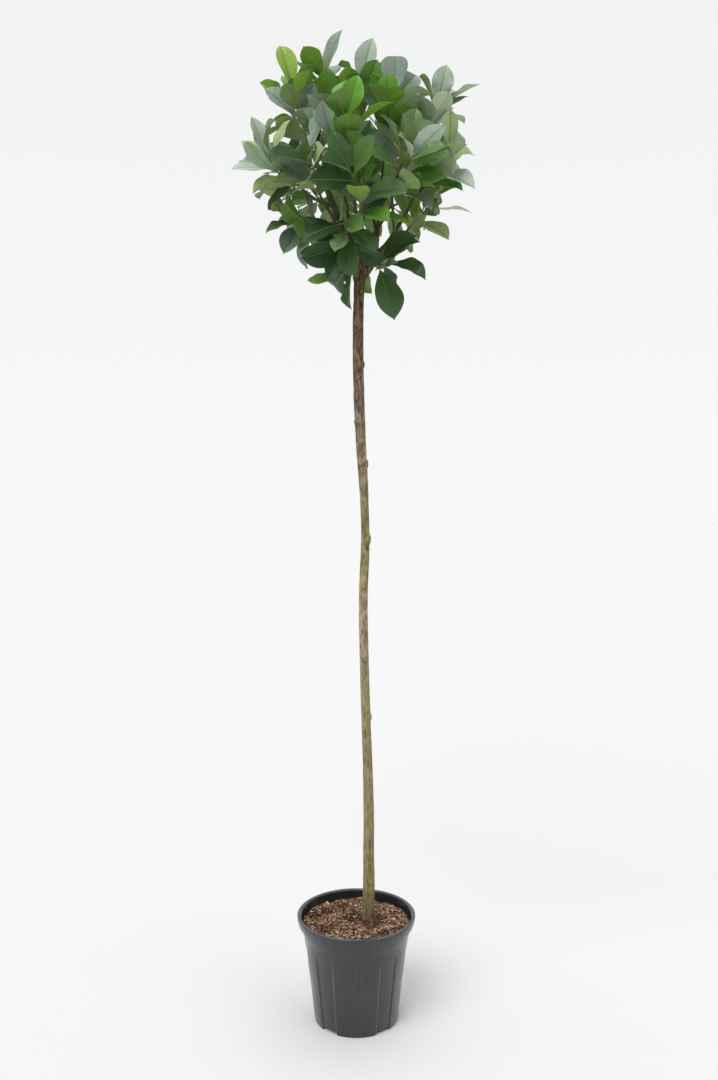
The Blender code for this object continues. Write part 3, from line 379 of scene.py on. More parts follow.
# The leaves that show most in the crown. The rule fills in round them.
# Their silver, grey and slate tones are painted sheen, and their deep ones painted shade
FIRST_LEAVES = (
    FirstLeaf("foliage_top_left", 1.00, -50, 67, 0.122, -125, 10, "grey"),
    FirstLeaf("foliage_top_left", 0.98, 175, 60, 0.110, -110, 25, "lime"),
    FirstLeaf("foliage_top_left", 0.66, -95, 66, 0.104, -90, 10, "bright"),
    FirstLeaf("foliage_left_top", 1.00, -145, 76, 0.126, -60, 0, "lime"),
    FirstLeaf("foliage_left_top", 0.60, -165, 44, 0.118, -95, 40, "grey"),
    FirstLeaf("foliage_top", 1.00, -75, 68, 0.118, -110, 10, "silver"),
    FirstLeaf("foliage_top_front", 1.00, 60, 78, 0.124, -90, 10, "slate"),
    FirstLeaf("foliage_top_front", 0.95, 29, 52, 0.118, -80, 20, "slate"),
    FirstLeaf("foliage_top_front", 0.66, -100, 62, 0.102, -90, 15, "fresh"),
    FirstLeaf("foliage_right_top", 1.00, -65, 62, 0.103, -90, 10, "silver"),
    FirstLeaf("foliage_right_top", 0.96, -12, 38, 0.122, 170, 60, "silver"),
    FirstLeaf("foliage_right_top", 0.80, -30, 36, 0.110, 150, 55, "dark"),
    FirstLeaf("foliage_left", 1.00, -125, 62, 0.112, -60, 10, "silver"),
    FirstLeaf("foliage_left", 0.92, 170, 48, 0.104, -80, 50, "pale"),
    FirstLeaf("foliage_left", 0.80, -160, 4, 0.104, -90, 45, "silver"),
    FirstLeaf("foliage_left", 0.45, -155, -18, 0.092, -90, 50, "olive"),
    FirstLeaf("foliage_left_low", 0.90, -150, -12, 0.100, -90, 55, "dark"),
    FirstLeaf("foliage_left_low", 0.70, -140, -45, 0.100, -90, 35, "slate"),
    FirstLeaf("foliage_right", 1.00, 40, 24, 0.105, -90, 40, "pale"),
    FirstLeaf("foliage_right", 0.98, -80, 66, 0.108, -90, 5, "pale"),
    FirstLeaf("foliage_right", 0.70, -35, -22, 0.105, -90, 30, "silver"),
    FirstLeaf("foliage_right_low", 0.90, 16, 14, 0.125, 90, 85, "pale"),
    FirstLeaf("foliage_right_low", 0.50, -40, -25, 0.104, -90, 40, "pale"),
    FirstLeaf("foliage_front_top", 0.70, 178, 48, 0.120, -90, 20, "grey"),
    FirstLeaf("foliage_fork_right", 0.40, -35, -70, 0.138, -80, 15, "dark"),
    FirstLeaf("foliage_fork_right", 0.80, -25, -14, 0.110, -90, 50, "dark"),
    FirstLeaf("foliage_fork_right", 0.95, -50, 28, 0.100, -100, 40, "dark"),
    FirstLeaf("foliage_fork_right", 0.65, 60, -45, 0.095, -90, 30, "deep"),
    FirstLeaf("foliage_fork_left", 0.40, -160, -78, 0.095, -150, 10, "dark"),
    FirstLeaf("foliage_left_top", 0.60, -60, 45, 0.095, -80, 10, "dark"),
    FirstLeaf("foliage_top", 0.85, -60, 50, 0.100, -90, 15, "bright"),
    FirstLeaf("foliage_top_front", 0.40, -105, 45, 0.095, -90, 20, "bright"),
    FirstLeaf("foliage_right_top", 0.50, -50, 35, 0.105, -90, 15, "silver"),
    FirstLeaf("foliage_front_top", 1.00, -60, 62, 0.100, -90, 10, "fresh"),
    FirstLeaf("foliage_front", 0.30, -100, 20, 0.105, 90, 80, "lime"),
    FirstLeaf("foliage_front", 0.10, -18, -6, 0.120, -60, 50, "fresh"),
    FirstLeaf("foliage_right_front", 0.95, -65, 62, 0.095, -100, 10, "green"),
    FirstLeaf("foliage_right_front", 0.60, -120, 12, 0.120, -90, 30, "mid"),
    FirstLeaf("foliage_left_front", 0.70, -160, 12, 0.110, -90, 35, "dark"),
    FirstLeaf("foliage_left_front", 0.20, -150, 30, 0.100, -90, 20, "slate"),
    FirstLeaf("foliage_right", 0.15, -100, 58, 0.098, 90, 0, "olive"),
    FirstLeaf("foliage_right", 0.65, -45, 35, 0.100, -90, 20, "mid"),
    FirstLeaf("foliage_right", 0.40, -35, -5, 0.095, -90, 40, "dark"),
    FirstLeaf("foliage_front_low", 0.75, -35, -30, 0.105, -90, 40, "dark"),
    FirstLeaf("foliage_front_low", 0.85, -165, -15, 0.110, -90, 40, "dark"),
    FirstLeaf("foliage_fork_right", 0.35, -45, 32, 0.125, -90, 35, "dark"),
    FirstLeaf("foliage_fork_left", 0.45, -155, 22, 0.135, -95, 35, "dark"),
)
FIRST_LEAF_ARCH = 20

# Stem as a mesh: rings up it, a little closer together towards its head, and columns round it
STEM_RINGS = 900
STEM_RING_POWER = 0.985
STEM_COLUMNS = 60
FORK_COLUMNS = 30
BARK_CREASE = 70
# The relief fades out over this height below the stem's flat head
HEAD_FADE = 0.008
# Bark relief, in metres. Cracks deepen between two heights, and are calmer near the head
LOW_CRACK = 0.00030
HIGH_CRACK = 0.00085
CRACKED_FROM = 1.50
CRACKED_FULL = 1.62
CALM_HEIGHTS = (1.80, 1.86)
CALM_SHARE = 0.4
# Noise on the bark: how many waves round the stem and a metre, their seed, and their share or height
FURROWS = ((22, 48, 5, 0.65), (44, 110, 6, 0.35))
FURROW_EDGES = (0.48, 0.74)
LUMPS = ((3, 14, 7, 0.0012), (9, 60, 8, 0.0005), (60, 260, 9, 0.00025))
PORES = (15, 340, 10)
PORE_EDGES = (0.80, 0.93)
# How much of the pores' height the cracks take
PORES_LOST = 0.7
LENTICEL_HEIGHT = 0.00035
# Faint rings left by old leaves: seed, height, half width, tilt, and where they start, end and follow on
NODE_SEED = 17
NODE_RING_HEIGHT = 0.0005
NODE_HALF_WIDTH = 0.0022
NODE_TILT = 0.0016
NODE_FIRST = 0.06
NODE_LAST = 0.03
NODE_SPACING = (0.035, 0.075)
# Knobs and hollows of the scars, in their own radius: how deep and how wide, and how steep a knob's side is
SCAR_HOLLOW = 0.40
KNOB_SPREAD = 0.78
KNOB_STEEPNESS = 2.6
HOLLOW_SPREAD = 0.34

BOUGH_RINGS_PER_METRE = 420
BOUGH_FEWEST_RINGS = 14
BOUGH_COLUMNS = 16
# A bough's foot swells as it leaves its parent. Above the stem its parent is about this thick
COLLAR_SWELL = 0.40
COLLAR_SPREAD = 0.6
PARENT_RADIUS = 0.0055
# Lumps of a bough: how many round it and a metre, and their height
BOUGH_LUMPS = ((4, 90, 0.0007), (10, 260, 0.0004))
# Rings of old leaf scars: height, half width, and where they start and follow on
BOUGH_SCAR_HEIGHT = 0.0006
BOUGH_SCAR_HALF_WIDTH = 0.0016
BOUGH_SCAR_FIRST = 0.02
BOUGH_SCAR_SPACING = (0.014, 0.030)
# The share of a ring's height that it has all round
BOUGH_SCAR_ROUND = 0.6
# A bough thinner than this has less relief, down to half
FULL_RELIEF_RADIUS = 0.006
LEAST_RELIEF = 0.5
SHOOT_RINGS = 26
SHOOT_COLUMNS = 8
SHOOT_CREASE = 60
# Swellings where leaves stand: how many, how much, and how long
SWELLINGS = 10
SWELLING = 0.13
SWELLING_LENGTH = 0.0028
RED_SHOOTS = ("foliage_right_low", "foliage_fork_right")
BUD_LENGTH = 0.0062
BUD_RADIUS = 0.0019
BUD_SINK = 0.0008
BUD_COLUMNS = 6
# Shares of the bud's length and of its radius
BUD_SHARES = (0.0, 0.18, 0.42, 0.68, 0.88, 1.0)
BUD_SWELL = (0.75, 1.0, 0.92, 0.60, 0.28, 0.05)

# Leaves: rows from stalk to tip, and columns from the midrib to the edge as shares of the half width
LEAF_ROWS = 25
LEAF_COLUMNS = (0.0, 0.06, 0.24, 0.46, 0.68, 0.87, 1.0)
RIB_HALF_WIDTH = 0.0011
RIB_TAPER = 0.6
RIB_MOST = 0.3
BLADE_THICKNESS = 0.00050
EDGE_THICKNESS = 0.00026
BLADE_END = 0.965
BLADE_WIDEST = (1.12, 1.62)
BLADE_FULLNESS = (0.62, 0.85)
POINT_START = 0.92
POINT_WIDTH = 0.11
POINT_CURVE = 0.8
# A blade is nowhere narrower than this, and a little wider where its stalk joins it
LEAST_HALF_WIDTH = 0.00022
BLADE_FOOT = 0.02
FOOT_HALF_WIDTH = 0.0010
# Side veins slant towards the tip, more at the edge and less near the tip
VEIN_SLANT = 0.17
VEIN_CURVE = 1.3
VEIN_EASE = 0.3
VEIN_SWELL = 0.6
VEIN_BELOW = 0.8
VEIN_DEPTH = 0.00070
RIB_GROOVE = 0.00045
RIB_RIDGE = 0.00100
RIDGE_TAPER = 0.75
LEAF_FOLD = (3, 26)
YOUNG_FOLD = 6
YOUNG_UNTIL = 3
LEAF_CUP = (-0.12, 0.10)
LEAF_SWEEP = 0.045
LEAF_TWIST = 16
LEAF_CURL = (3, 30)
# The curl starts this share along the leaf, whose middle line has this many points
CURL_START = 0.66
PATH_POINTS = 81
LEAF_WAVE = (0.0006, 0.0030)
LEAF_WAVES = (1.5, 3.0)
LEAF_GRAIN = ((150.0, 5.0, 0.62), 0.0020)
STALK_SHARES = (0.0, 0.02, 0.05, 0.085, 0.115, 0.16)
STALK_RADII = (0.0019, 0.0015, 0.00135, 0.00125, 0.0010, 0.0006)
STALK_COLUMNS = 7
STALK_SINK = 0.0004
LEAF_CREASE = 50
LATE_LEAVES = 3
LATE_LEAF_SIZE = 0.68
LATE_LEAF_FIRST = 3
TIP_LEAVES = 2
TIP_LEAF_LENGTH = (0.030, 0.055)
TIP_LEAF_ANGLE = (14, 34)
TIP_LEAF_ARCH = 15

# Colours in linear light. Each leaf takes one plain tone above and one below, dealt out by its spray.
# The tones are lighter and darker copies of one leaf green. Part of the difference is the leaves' own age,
# and part is painted light:
# the silver, grey and slate tones are grey-green as a painted sheen of the white room on glossy leaves, deep
# is painted shade, and lime, fresh and bright are partly young growth and partly painted light shining
# through the leaf
TONES = {
    "lime": (0.235, 0.385, 0.035),
    "fresh": (0.108, 0.310, 0.014),
    "bright": (0.080, 0.220, 0.014),
    "mid": (0.082, 0.176, 0.036),
    "green": (0.118, 0.212, 0.078),
    "olive": (0.190, 0.275, 0.078),
    "pale": (0.330, 0.430, 0.190),
    "silver": (0.372, 0.462, 0.362),
    "grey": (0.188, 0.255, 0.192),
    "slate": (0.132, 0.186, 0.138),
    "dark": (0.046, 0.110, 0.028),
    "deep": (0.024, 0.064, 0.016),
}
# Undersides: paler than the tops, as on the real leaves, and lighter still as painted light shining through
# the leaf. The darkest underside is painted shade, as dark as a shaded top
UNDERSIDES = {
    "under_lime": (0.262, 0.405, 0.076),
    "under_fresh": (0.210, 0.430, 0.040),
    "under_green": (0.165, 0.312, 0.060),
    "under_pale": (0.425, 0.542, 0.350),
    "under_dull": (0.260, 0.362, 0.136),
    "under_dark": (0.046, 0.110, 0.028),
}
RIBS = {"rib": (0.130, 0.220, 0.060), "rib_below": (0.300, 0.400, 0.130)}
STALK_COLOUR = (0.170, 0.230, 0.060)
# Roughness and coat of the upper sides, the undersides and the ribs
LEAF_GLOSS = ((TONES, 0.40, 0.14), (UNDERSIDES, 0.55, 0.0), (RIBS, 0.50, 0.0))
LEAF_LOOKS = [*TONES, *UNDERSIDES, *RIBS]
# How strongly each tone mirrors the room. The grey ones are grey with sheen: their grey base colour is
# itself a painted sheen
SHEEN = {"silver": 0.5, "grey": 0.5, "slate": 0.42, "mid": 0.32, "dark": 0.26, "deep": 0.22}
PLAIN_SHEEN = 0.38
# A leaf this much older takes the next tone of its spray, give or take this many tones
TONE_STEP = 0.8
TONE_PLAY = 1.6
# Masses at the top and at the sides of the crown. All others are inside it, and take darker tones as painted
# shade
TOP_MASSES = (
    "foliage_left_top",
    "foliage_top_left",
    "foliage_top",
    "foliage_top_front",
    "foliage_front_top",
    "foliage_front",
    "foliage_back_top",
)
SIDE_MASSES = (
    "foliage_right_top",
    "foliage_left",
    "foliage_right",
    "foliage_left_front",
    "foliage_right_front",
)
# Tones that a spray deals out, from its youngest leaves to its oldest, and those of its undersides.
# The inside spray is darker as painted shade of the crown's inside
SPRAYS = {
    "crown_top": ("bright", "fresh", "grey", "mid", "dark", "slate", "dark"),
    "side": ("grey", "green", "pale", "mid", "dark", "slate", "deep"),
    "inside": ("mid", "dark", "green", "deep", "slate", "deep"),
}
UNDER_SPRAYS = {
    "crown_top": ("under_fresh", "under_green", "under_fresh", "under_dull"),
    "side": ("under_pale", "under_green", "under_pale", "under_dull"),
    "inside": ("under_dull", "under_green", "under_dull"),
}
UNDER_OF_TONE = {"lime": "under_lime", "fresh": "under_fresh", "pale": "under_pale", "silver": "under_pale"}
# Leaves that show most, by mass and number, with the tone of the side that shows, picked one by one for how
# each looks in its light:
# a lighter tone on a leaf that lies in shade is painted light, grey tones are painted sheen, and deep or the
# darkest underside is painted shade
CHOSEN_TONES = {
    "foliage_front": {3: "dark", 5: "dark", 7: "mid", 9: "deep", 10: "green", 13: "bright"},
    "foliage_front_low": {1: "deep", 4: "dark"},
    "foliage_right_front": {3: "mid", 7: "grey", 9: "bright", 10: "slate", 11: "bright", 12: "under_dull"},
    "foliage_front_top": {3: "grey", 6: "deep", 9: "under_green"},
    "foliage_top_left": {5: "under_fresh"},
    "foliage_left_top": {2: "slate"},
    "foliage_left_front": {0: "deep", 5: "dark", 8: "under_dull"},
    "foliage_right_top": {2: "under_dark", 5: "under_pale"},
    "foliage_top_front": {4: "under_fresh", 8: "under_pale", 9: "under_fresh"},
    "foliage_left_low": {4: "under_green"},
    "foliage_right": {4: "pale", 5: "fresh", 12: "under_pale"},
    "foliage_right_low": {7: "under_fresh"},
}
# Leaves left out where the crown is open, so that the boughs and the leaves behind show
LEFT_OPEN = {
    "foliage_left_front": (2, 4, 6),
    "foliage_left_top": (8, 12),
    "foliage_top_left": (3, 7),
    "foliage_front_top": (5,),
}
# Leaves that are slimmer than the rest, by mass and number, with their share of the usual width
SLIM_LEAVES = {
    "foliage_top_left": {0: 0.74, 1: 0.85},
    "foliage_left_top": {0: 0.78, 1: 0.84},
    "foliage_top": {0: 0.90},
    "foliage_left": {0: 0.90, 2: 0.80, 8: 0.56},
    "foliage_right_top": {1: 0.46, 2: 0.72},
    "foliage_right": {0: 0.80, 1: 0.72},
    "foliage_right_low": {0: 0.50},
}

# Soil: chips and fibres strewn over a dark bed
CHIP_COUNT = 6500
CHIP_LENGTH = (0.0030, 0.014)
CHIP_WIDTH = (0.0008, 0.0029)
CHIP_THICKNESS = (0.0006, 0.0018)
FIBRE_COUNT = 1800
FIBRE_LENGTH = (0.006, 0.018)
FIBRE_WIDTH = 0.0008
FIBRE_THICKNESS = 0.0007
SOIL_SEED = 41
# A chip's length is cut by a share between these, and its corners are uneven by these
CHIP_CUT = (0.4, 1.0)
CHIP_UNEVEN = (-0.35, 0.25)
# How far a chip tips and rolls, in radians, and how far from the soil's top it lies
CHIP_TIP = 0.30
CHIP_ROLL = 0.45
CHIP_LEVEL = (-0.0010, 0.0022)
CHIP_WALL_GAP = 0.0015
CHIP_STEM_GAP = 0.0185
BOX_FACES = ((0, 1, 3, 2), (4, 6, 7, 5), (0, 4, 5, 1), (2, 3, 7, 6), (0, 2, 6, 4), (1, 5, 7, 3))
# Damp patches of the soil: how often a chip in one is dark, and the patches' waves right, back and start
DAMP_SHARE = 0.8
DAMP_WAVES = ((48, 20, 0.4), (-26, 61, 2.1), (75, -58, 4.0), (19, 33, 1.3))
DAMP_EDGES = (-0.2, 1.4)
# The first tones are the dark ones of a damp patch
DAMP_TONES = 3
SOIL_TONES = {
    "chip_dark": (0.024, 0.013, 0.010),
    "chip_brown": (0.132, 0.066, 0.042),
    "chip_red": (0.230, 0.110, 0.066),
    "chip_orange": (0.500, 0.285, 0.140),
    "chip_tan": (0.720, 0.550, 0.360),
    "chip_grey": (0.270, 0.210, 0.160),
}
SOIL_SHARES = (0.26, 0.24, 0.16, 0.13, 0.10, 0.11)
# A chip's grain runs between these shares of its tone
CHIP_SHADES = (0.62, 1.3)
SOIL_COLOUR = (0.030, 0.016, 0.010)
SOIL_GRAIN = ((0.35, (0.012, 0.007, 0.005)), (0.68, (0.080, 0.038, 0.020)))

FLOOR_SIZE = 40.0
FLOOR_COLOUR = (0.606, 0.608, 0.610)

# A piece of leaves stays under this many triangles, and a leaf has about this many
PIECE_LIMIT = 190000
TRIANGLES_A_LEAF = 1300

# Pot: its plastic as a plain colour, and its dark, rubbed and streaked tones
POT_COLOUR = (0.036, 0.038, 0.041)
POT_DARK = (0.008, 0.0105, 0.014)
POT_RUBBED = (0.016, 0.019, 0.024)
POT_STREAKED = (0.055, 0.056, 0.058)

# Bark colours by height from the soil, 0, to 2.0 m, 1
BARK_BY_HEIGHT = (
    (0.00, (0.105, 0.082, 0.045)),
    (0.05, (0.224, 0.208, 0.080)),
    (0.25, (0.252, 0.212, 0.106)),
    (0.45, (0.312, 0.254, 0.162)),
    (0.52, (0.202, 0.174, 0.060)),
    (0.58, (0.216, 0.180, 0.068)),
    (0.68, (0.238, 0.192, 0.114)),
    (0.75, (0.152, 0.110, 0.071)),
    (0.86, (0.152, 0.096, 0.058)),
    (0.93, (0.185, 0.125, 0.068)),
)
BARK_GREY = (
    (0.10, (0.235, 0.205, 0.130)),
    (0.50, (0.320, 0.280, 0.190)),
    (0.75, (0.240, 0.195, 0.155)),
    (0.90, (0.215, 0.150, 0.100)),
)
BARK_STREAK = (
    (0.10, (0.115, 0.100, 0.046)),
    (0.50, (0.095, 0.090, 0.036)),
    (0.72, (0.075, 0.050, 0.032)),
    (0.90, (0.045, 0.022, 0.014)),
)
BOUGH_BY_HEIGHT = (
    (0.00, (0.150, 0.095, 0.045)),
    (0.12, (0.095, 0.070, 0.034)),
    (0.25, (0.060, 0.060, 0.024)),
    (1.00, (0.115, 0.135, 0.042)),
)
BARK_TOP = 2.0
BOUGH_HEIGHTS = (1.86, 2.30)
STEM_COLOUR = (0.17, 0.13, 0.08)
CRACK_COLOUR = (0.040, 0.020, 0.012)
PORE_COLOUR = (0.035, 0.024, 0.016)
BOUGH_COLOUR = (0.05, 0.04, 0.02)
BOUGH_MOTTLE = (0.140, 0.126, 0.056)
# Noise in the looks goes by its scale, detail, roughness and stretch along each axis. A pattern is noise
# with its steps: the values between which it rises, and how strong it is below and above them
GREY_PATCHES = ((85.0, 5.0, 0.65, (1.0, 1.0, 0.55)), (0.50, 0.66, 0.0, 0.60))
DARK_STREAKS = ((150.0, 4.0, 0.6, (1.0, 1.0, 0.26)), (0.50, 0.64, 0.0, 0.80))
SHADES = ((60.0, 6.0, 0.75, (1.0, 1.0, 0.5)), (0.38, 0.62, 0.62, 1.50))
CRACKS = ((210.0, 5.0, 0.66, (1.0, 1.0, 0.17)), (0.49, 0.57, 0.0, 1.0))
BOUGH_MOTTLES = ((160.0, 4.0, 0.6, (1.0, 1.0, 0.45)), (0.46, 0.66, 0.0, 0.6))
PORE_PATCHES = ((30.0, 2.0), (0.56, 0.64))
POT_RUBS = ((14.0, 6.0, 0.6), (0.45, 0.75))
POT_STREAKS = ((9.0, 5.0, 0.6, (6.0, 6.0, 0.5)), (0.52, 0.78, 0.0, 0.35))
POT_ROUGHNESS = ((60.0, 3.0), (0.3, 0.7, 0.26, 0.38))
TWIG_PATCHES = ((45.0, 4.0, 0.6), (0.42, 0.64))
# Bark colours wander up and down by this share of the height, as this noise goes
WANDER = (9.0, 3.0)
WANDER_REACH = 0.10
# Steps by height: where the bark is shaded, and where it is cracked
SHADED_STEPS = (0.15, 0.55, 0.35, 1.0)
CRACKED_STEPS = (0.60, 0.80, 0.10, 0.90)
# Spots of the pores: their scale and stretch, and their steps
PORE_SPOTS = (75.0, (1.0, 1.0, 0.7))
PORE_STEPS = (0.10, 0.20, 0.75, 0.0)
# Grain is noise and its height in metres
STEM_GRAIN = ((520.0, 4.0, 0.7, (1.0, 1.0, 0.35)), 0.0009)
BOUGH_GRAIN = ((480.0, 3.0, 0.55, (1.0, 1.0, 0.5)), 0.0006)
TWIG_GRAIN = ((700.0, 2.0), 0.0003)
SOIL_CRUMBS = ((260.0, 5.0, 0.7), 0.003)
CHIP_GRAIN = ((420.0, 4.0, 0.65), 0.0006)
CHIP_GRAIN_ENDS = (0.35, 0.65)
# A leaf's roughness follows noise between these values, by this much
LEAF_SHINE = (90.0, 3.0)
LEAF_SHINE_ENDS = (0.3, 0.7)
LEAF_SHINE_PLAY = (-0.06, 0.08)
# Gloss of each look
POT_GLOSS = {"roughness": 0.36, "coat": 0.60, "coat_roughness": 0.10}
SOIL_GLOSS = {"roughness": 0.95, "specular": 0.2}
CHIP_GLOSS = {"roughness": 0.88, "specular": 0.25}
STEM_GLOSS = {"roughness": 0.82, "specular": 0.3}
BOUGH_GLOSS = {"roughness": 0.66, "specular": 0.4}
TWIG_GLOSS = {"roughness": 0.50, "coat": 0.15, "specular": 0.45}
FLOOR_GLOSS = {"roughness": 0.85, "specular": 0.1}
LEAF_COAT_ROUGHNESS = 0.16
# Bark of the shoots and buds, in two tones each
TWIG_TONES = {
    "twig_green": ((0.095, 0.140, 0.032), (0.140, 0.165, 0.050)),
    "twig_brown": ((0.085, 0.070, 0.028), (0.120, 0.110, 0.045)),
    "twig_red": ((0.150, 0.065, 0.035), (0.110, 0.090, 0.040)),
    "bud": ((0.180, 0.200, 0.060), (0.130, 0.110, 0.040)),
}

# Light: a white room and soft lamps
ROOM_COLOUR = (0.990, 0.993, 1.0)
# The room's light behind the camera and in front, and the turn between them from -1 to 1
ROOM_LIGHT = (0.24, 0.85)
ROOM_LIGHT_TURN = (-0.95, 0.10)
# How bright the room is seen, level and high up, and the rise between them
ROOM_SEEN = (0.945, 0.895)
ROOM_SEEN_TURN = (0.0, 0.41)
LAMP_DISTANCE = 5
# Each soft lamp: name, azimuth and rise it shines from, how wide it looks in degrees, power and colour
LAMPS = (
    ("lamp_left", -122, 50, 40, 2.30, (1.0, 0.99, 0.97)),
    ("lamp_right", -38, 34, 45, 0.45, (0.98, 0.99, 1.0)),
    ("lamp_top", 60, 78, 60, 0.70, (1.0, 1.0, 1.0)),
)


def interpolate(table, at):
    """The value at this height in a table of (height, value) pairs."""
    if at <= table[0][0]:
        return table[0][1]
    for (low, first), (high, second) in zip(table, table[1:]):
        if at <= high:
            return first + (second - first) * (at - low) / (high - low)
    return table[-1][1]


def direction(azimuth, rise):
    """Azimuth runs from +X towards +Y, and rise is above the level, both in degrees."""
    a = math.radians(azimuth)
    r = math.radians(rise)
    return Vector((math.cos(a) * math.cos(r), math.sin(a) * math.cos(r), math.sin(r)))


def smooth_curve(knots, share):
    """A point on the smooth curve through these knots, which lie at even shares of it."""
    along = min(max(share, 0.0), 1.0) * (len(knots) - 1)
    first = min(int(along), len(knots) - 2)
    t = along - first
    before = knots[max(first - 1, 0)]
    after = knots[min(first + 2, len(knots) - 1)]
    start, end = knots[first], knots[first + 1]
    pull, push = (end - before) / 2, (after - start) / 2
    return (
        start * (2 * t**3 - 3 * t**2 + 1)
        + pull * (t**3 - 2 * t**2 + t)
        + end * (3 * t**2 - 2 * t**3)
        + push * (t**3 - t**2)
    )


def along_line(line, share):
    """A point this share of the way along a line of evenly spaced points."""
    at = min(max(share, 0.0), 1.0) * (len(line) - 1)
    first = min(int(at), len(line) - 2)
    return line[first].lerp(line[first + 1], at - first)


def line_direction(line, share):
    return (along_line(line, share + LINE_STEP) - along_line(line, share - LINE_STEP)).normalized()


def line_length(line):
    return sum((b - a).length for a, b in zip(line, line[1:]))


def off_axis(ahead, turn):
    """The direction across a shoot at this turn round it."""
    side = ahead.cross(SIDE_HINT).normalized()
    return side * math.cos(turn) + side.cross(ahead) * math.sin(turn)


def leaning(ahead, turn, angle):
    """The direction that leans off a shoot by this angle, at this turn round it."""
    return ahead * math.cos(angle) + off_axis(ahead, turn) * math.sin(angle)


def from_tip(order):
    """How far from its shoot's tip a leaf of this order stands."""
    return order * (LEAF_SPACING[0] + LEAF_SPACING[1] * order / 2)


def across(towards, along):
    """The part of a direction that is square to another."""
    return (towards - along * towards.dot(along)).normalized()


def bent_line(start, towards, length, bow, stations):
    """A line that leaves flatter than it ends: it bows down by this much in its middle."""
    end = start + towards * length
    middle = (start + end) / 2 - UP * 2 * bow
    shares = [k / stations for k in range(stations + 1)]
    return [start * (1 - s) ** 2 + middle * 2 * s * (1 - s) + end * s**2 for s in shares]


def tube(line, radii, sides):
    """The points and faces of a round limb with flat ends, and with no twist along it."""
    points, faces = [], []
    side = (line[1] - line[0]).cross(Vector((0.0, 1.0, 0.0))).normalized()
    for k, (centre, radius) in enumerate(zip(line, radii)):
        ahead = (line[min(k + 1, len(line) - 1)] - line[max(k - 1, 0)]).normalized()
        side = across(side, ahead)
        other = ahead.cross(side)
        for n in range(sides):
            turn = math.tau * n / sides
            points.append(centre + (side * math.cos(turn) + other * math.sin(turn)) * radius)
    for k in range(len(line) - 1):
        for n in range(sides):
            m = (n + 1) % sides
            low, high = k * sides, (k + 1) * sides
            faces.append((low + n, low + m, high + m, high + n))
    faces.append(tuple(range(sides))[::-1])
    faces.append(tuple(range(len(points) - sides, len(points))))
    return points, faces


def stem_point(share):
    height = STEM_LINE[0][0] + STEM_LENGTH * share
    knots = [Vector(knot) for knot in STEM_LINE]
    for n, (low, high) in enumerate(zip(knots, knots[1:])):
        if height <= high.x + 1e-9:
            break
    at = smooth_curve(knots, (n + (height - low.x) / (high.x - low.x)) / (len(knots) - 1))
    return Vector((at.y, at.z, height))


def stem_shares():
    """Shares of the stem's height: close together at the foot and the head, even between."""
    foot, head = STEM_FOOT_SHARES, STEM_HEAD_SHARES
    steps = STEM_STATIONS - len(foot) - len(head)
    even = [foot[-1] + (head[0] - foot[-1]) * (k + 1) / (steps + 1) for k in range(steps)]
    return [*foot, *even, *head]


def stem_tube(extra):
    """The stem as the solid has it, with its root flare, made thicker all over by extra."""
    line = [stem_point(share) for share in stem_shares()]
    radii = [interpolate(STEM_RADII, point.z) + extra for point in line]
    points, faces = tube(line, radii, STEM_SIDES)
    for k, centre in enumerate(line):
        fade = max(0.0, 1 - (centre.z - SOIL_LEVEL) / ROOT_FLARE_HEIGHT)
        for n in range(STEM_SIDES):
            lobe = ROOT_LOBE_DEPTH * fade * math.cos(math.tau * n * ROOT_LOBES / STEM_SIDES)
            index = k * STEM_SIDES + n
            points[index] = centre + (points[index] - centre) * (1 + lobe)
            if k == 0:
                points[index].z = centre.z
    return points, faces


def limb_lines():
    """Each limb's centre line and radii, by name, from its parent outwards."""
    limbs = {"stem": ([stem_point(k / STEM_POINTS) for k in range(STEM_POINTS + 1)], [])}
    shares = [k / BOUGH_STATIONS for k in range(BOUGH_STATIONS + 1)]
    for bough in (FORK, *BOUGHS):
        radii = [bough.foot_radius + (bough.tip_radius - bough.foot_radius) * s for s in shares]
        limbs[bough.name] = (limb_line(bough, limbs, BOUGH_STATIONS), radii)
    return limbs


def pot_inside():
    """Height and radius of the pot's inner wall, from its floor up to the rim."""
    wall = [(height, radius - POT_WALL) for height, radius in POT_WALL_OUTSIDE if height > POT_FLOOR]
    return [(POT_FLOOR, wall[0][1] - FLOOR_CORNER), *wall]


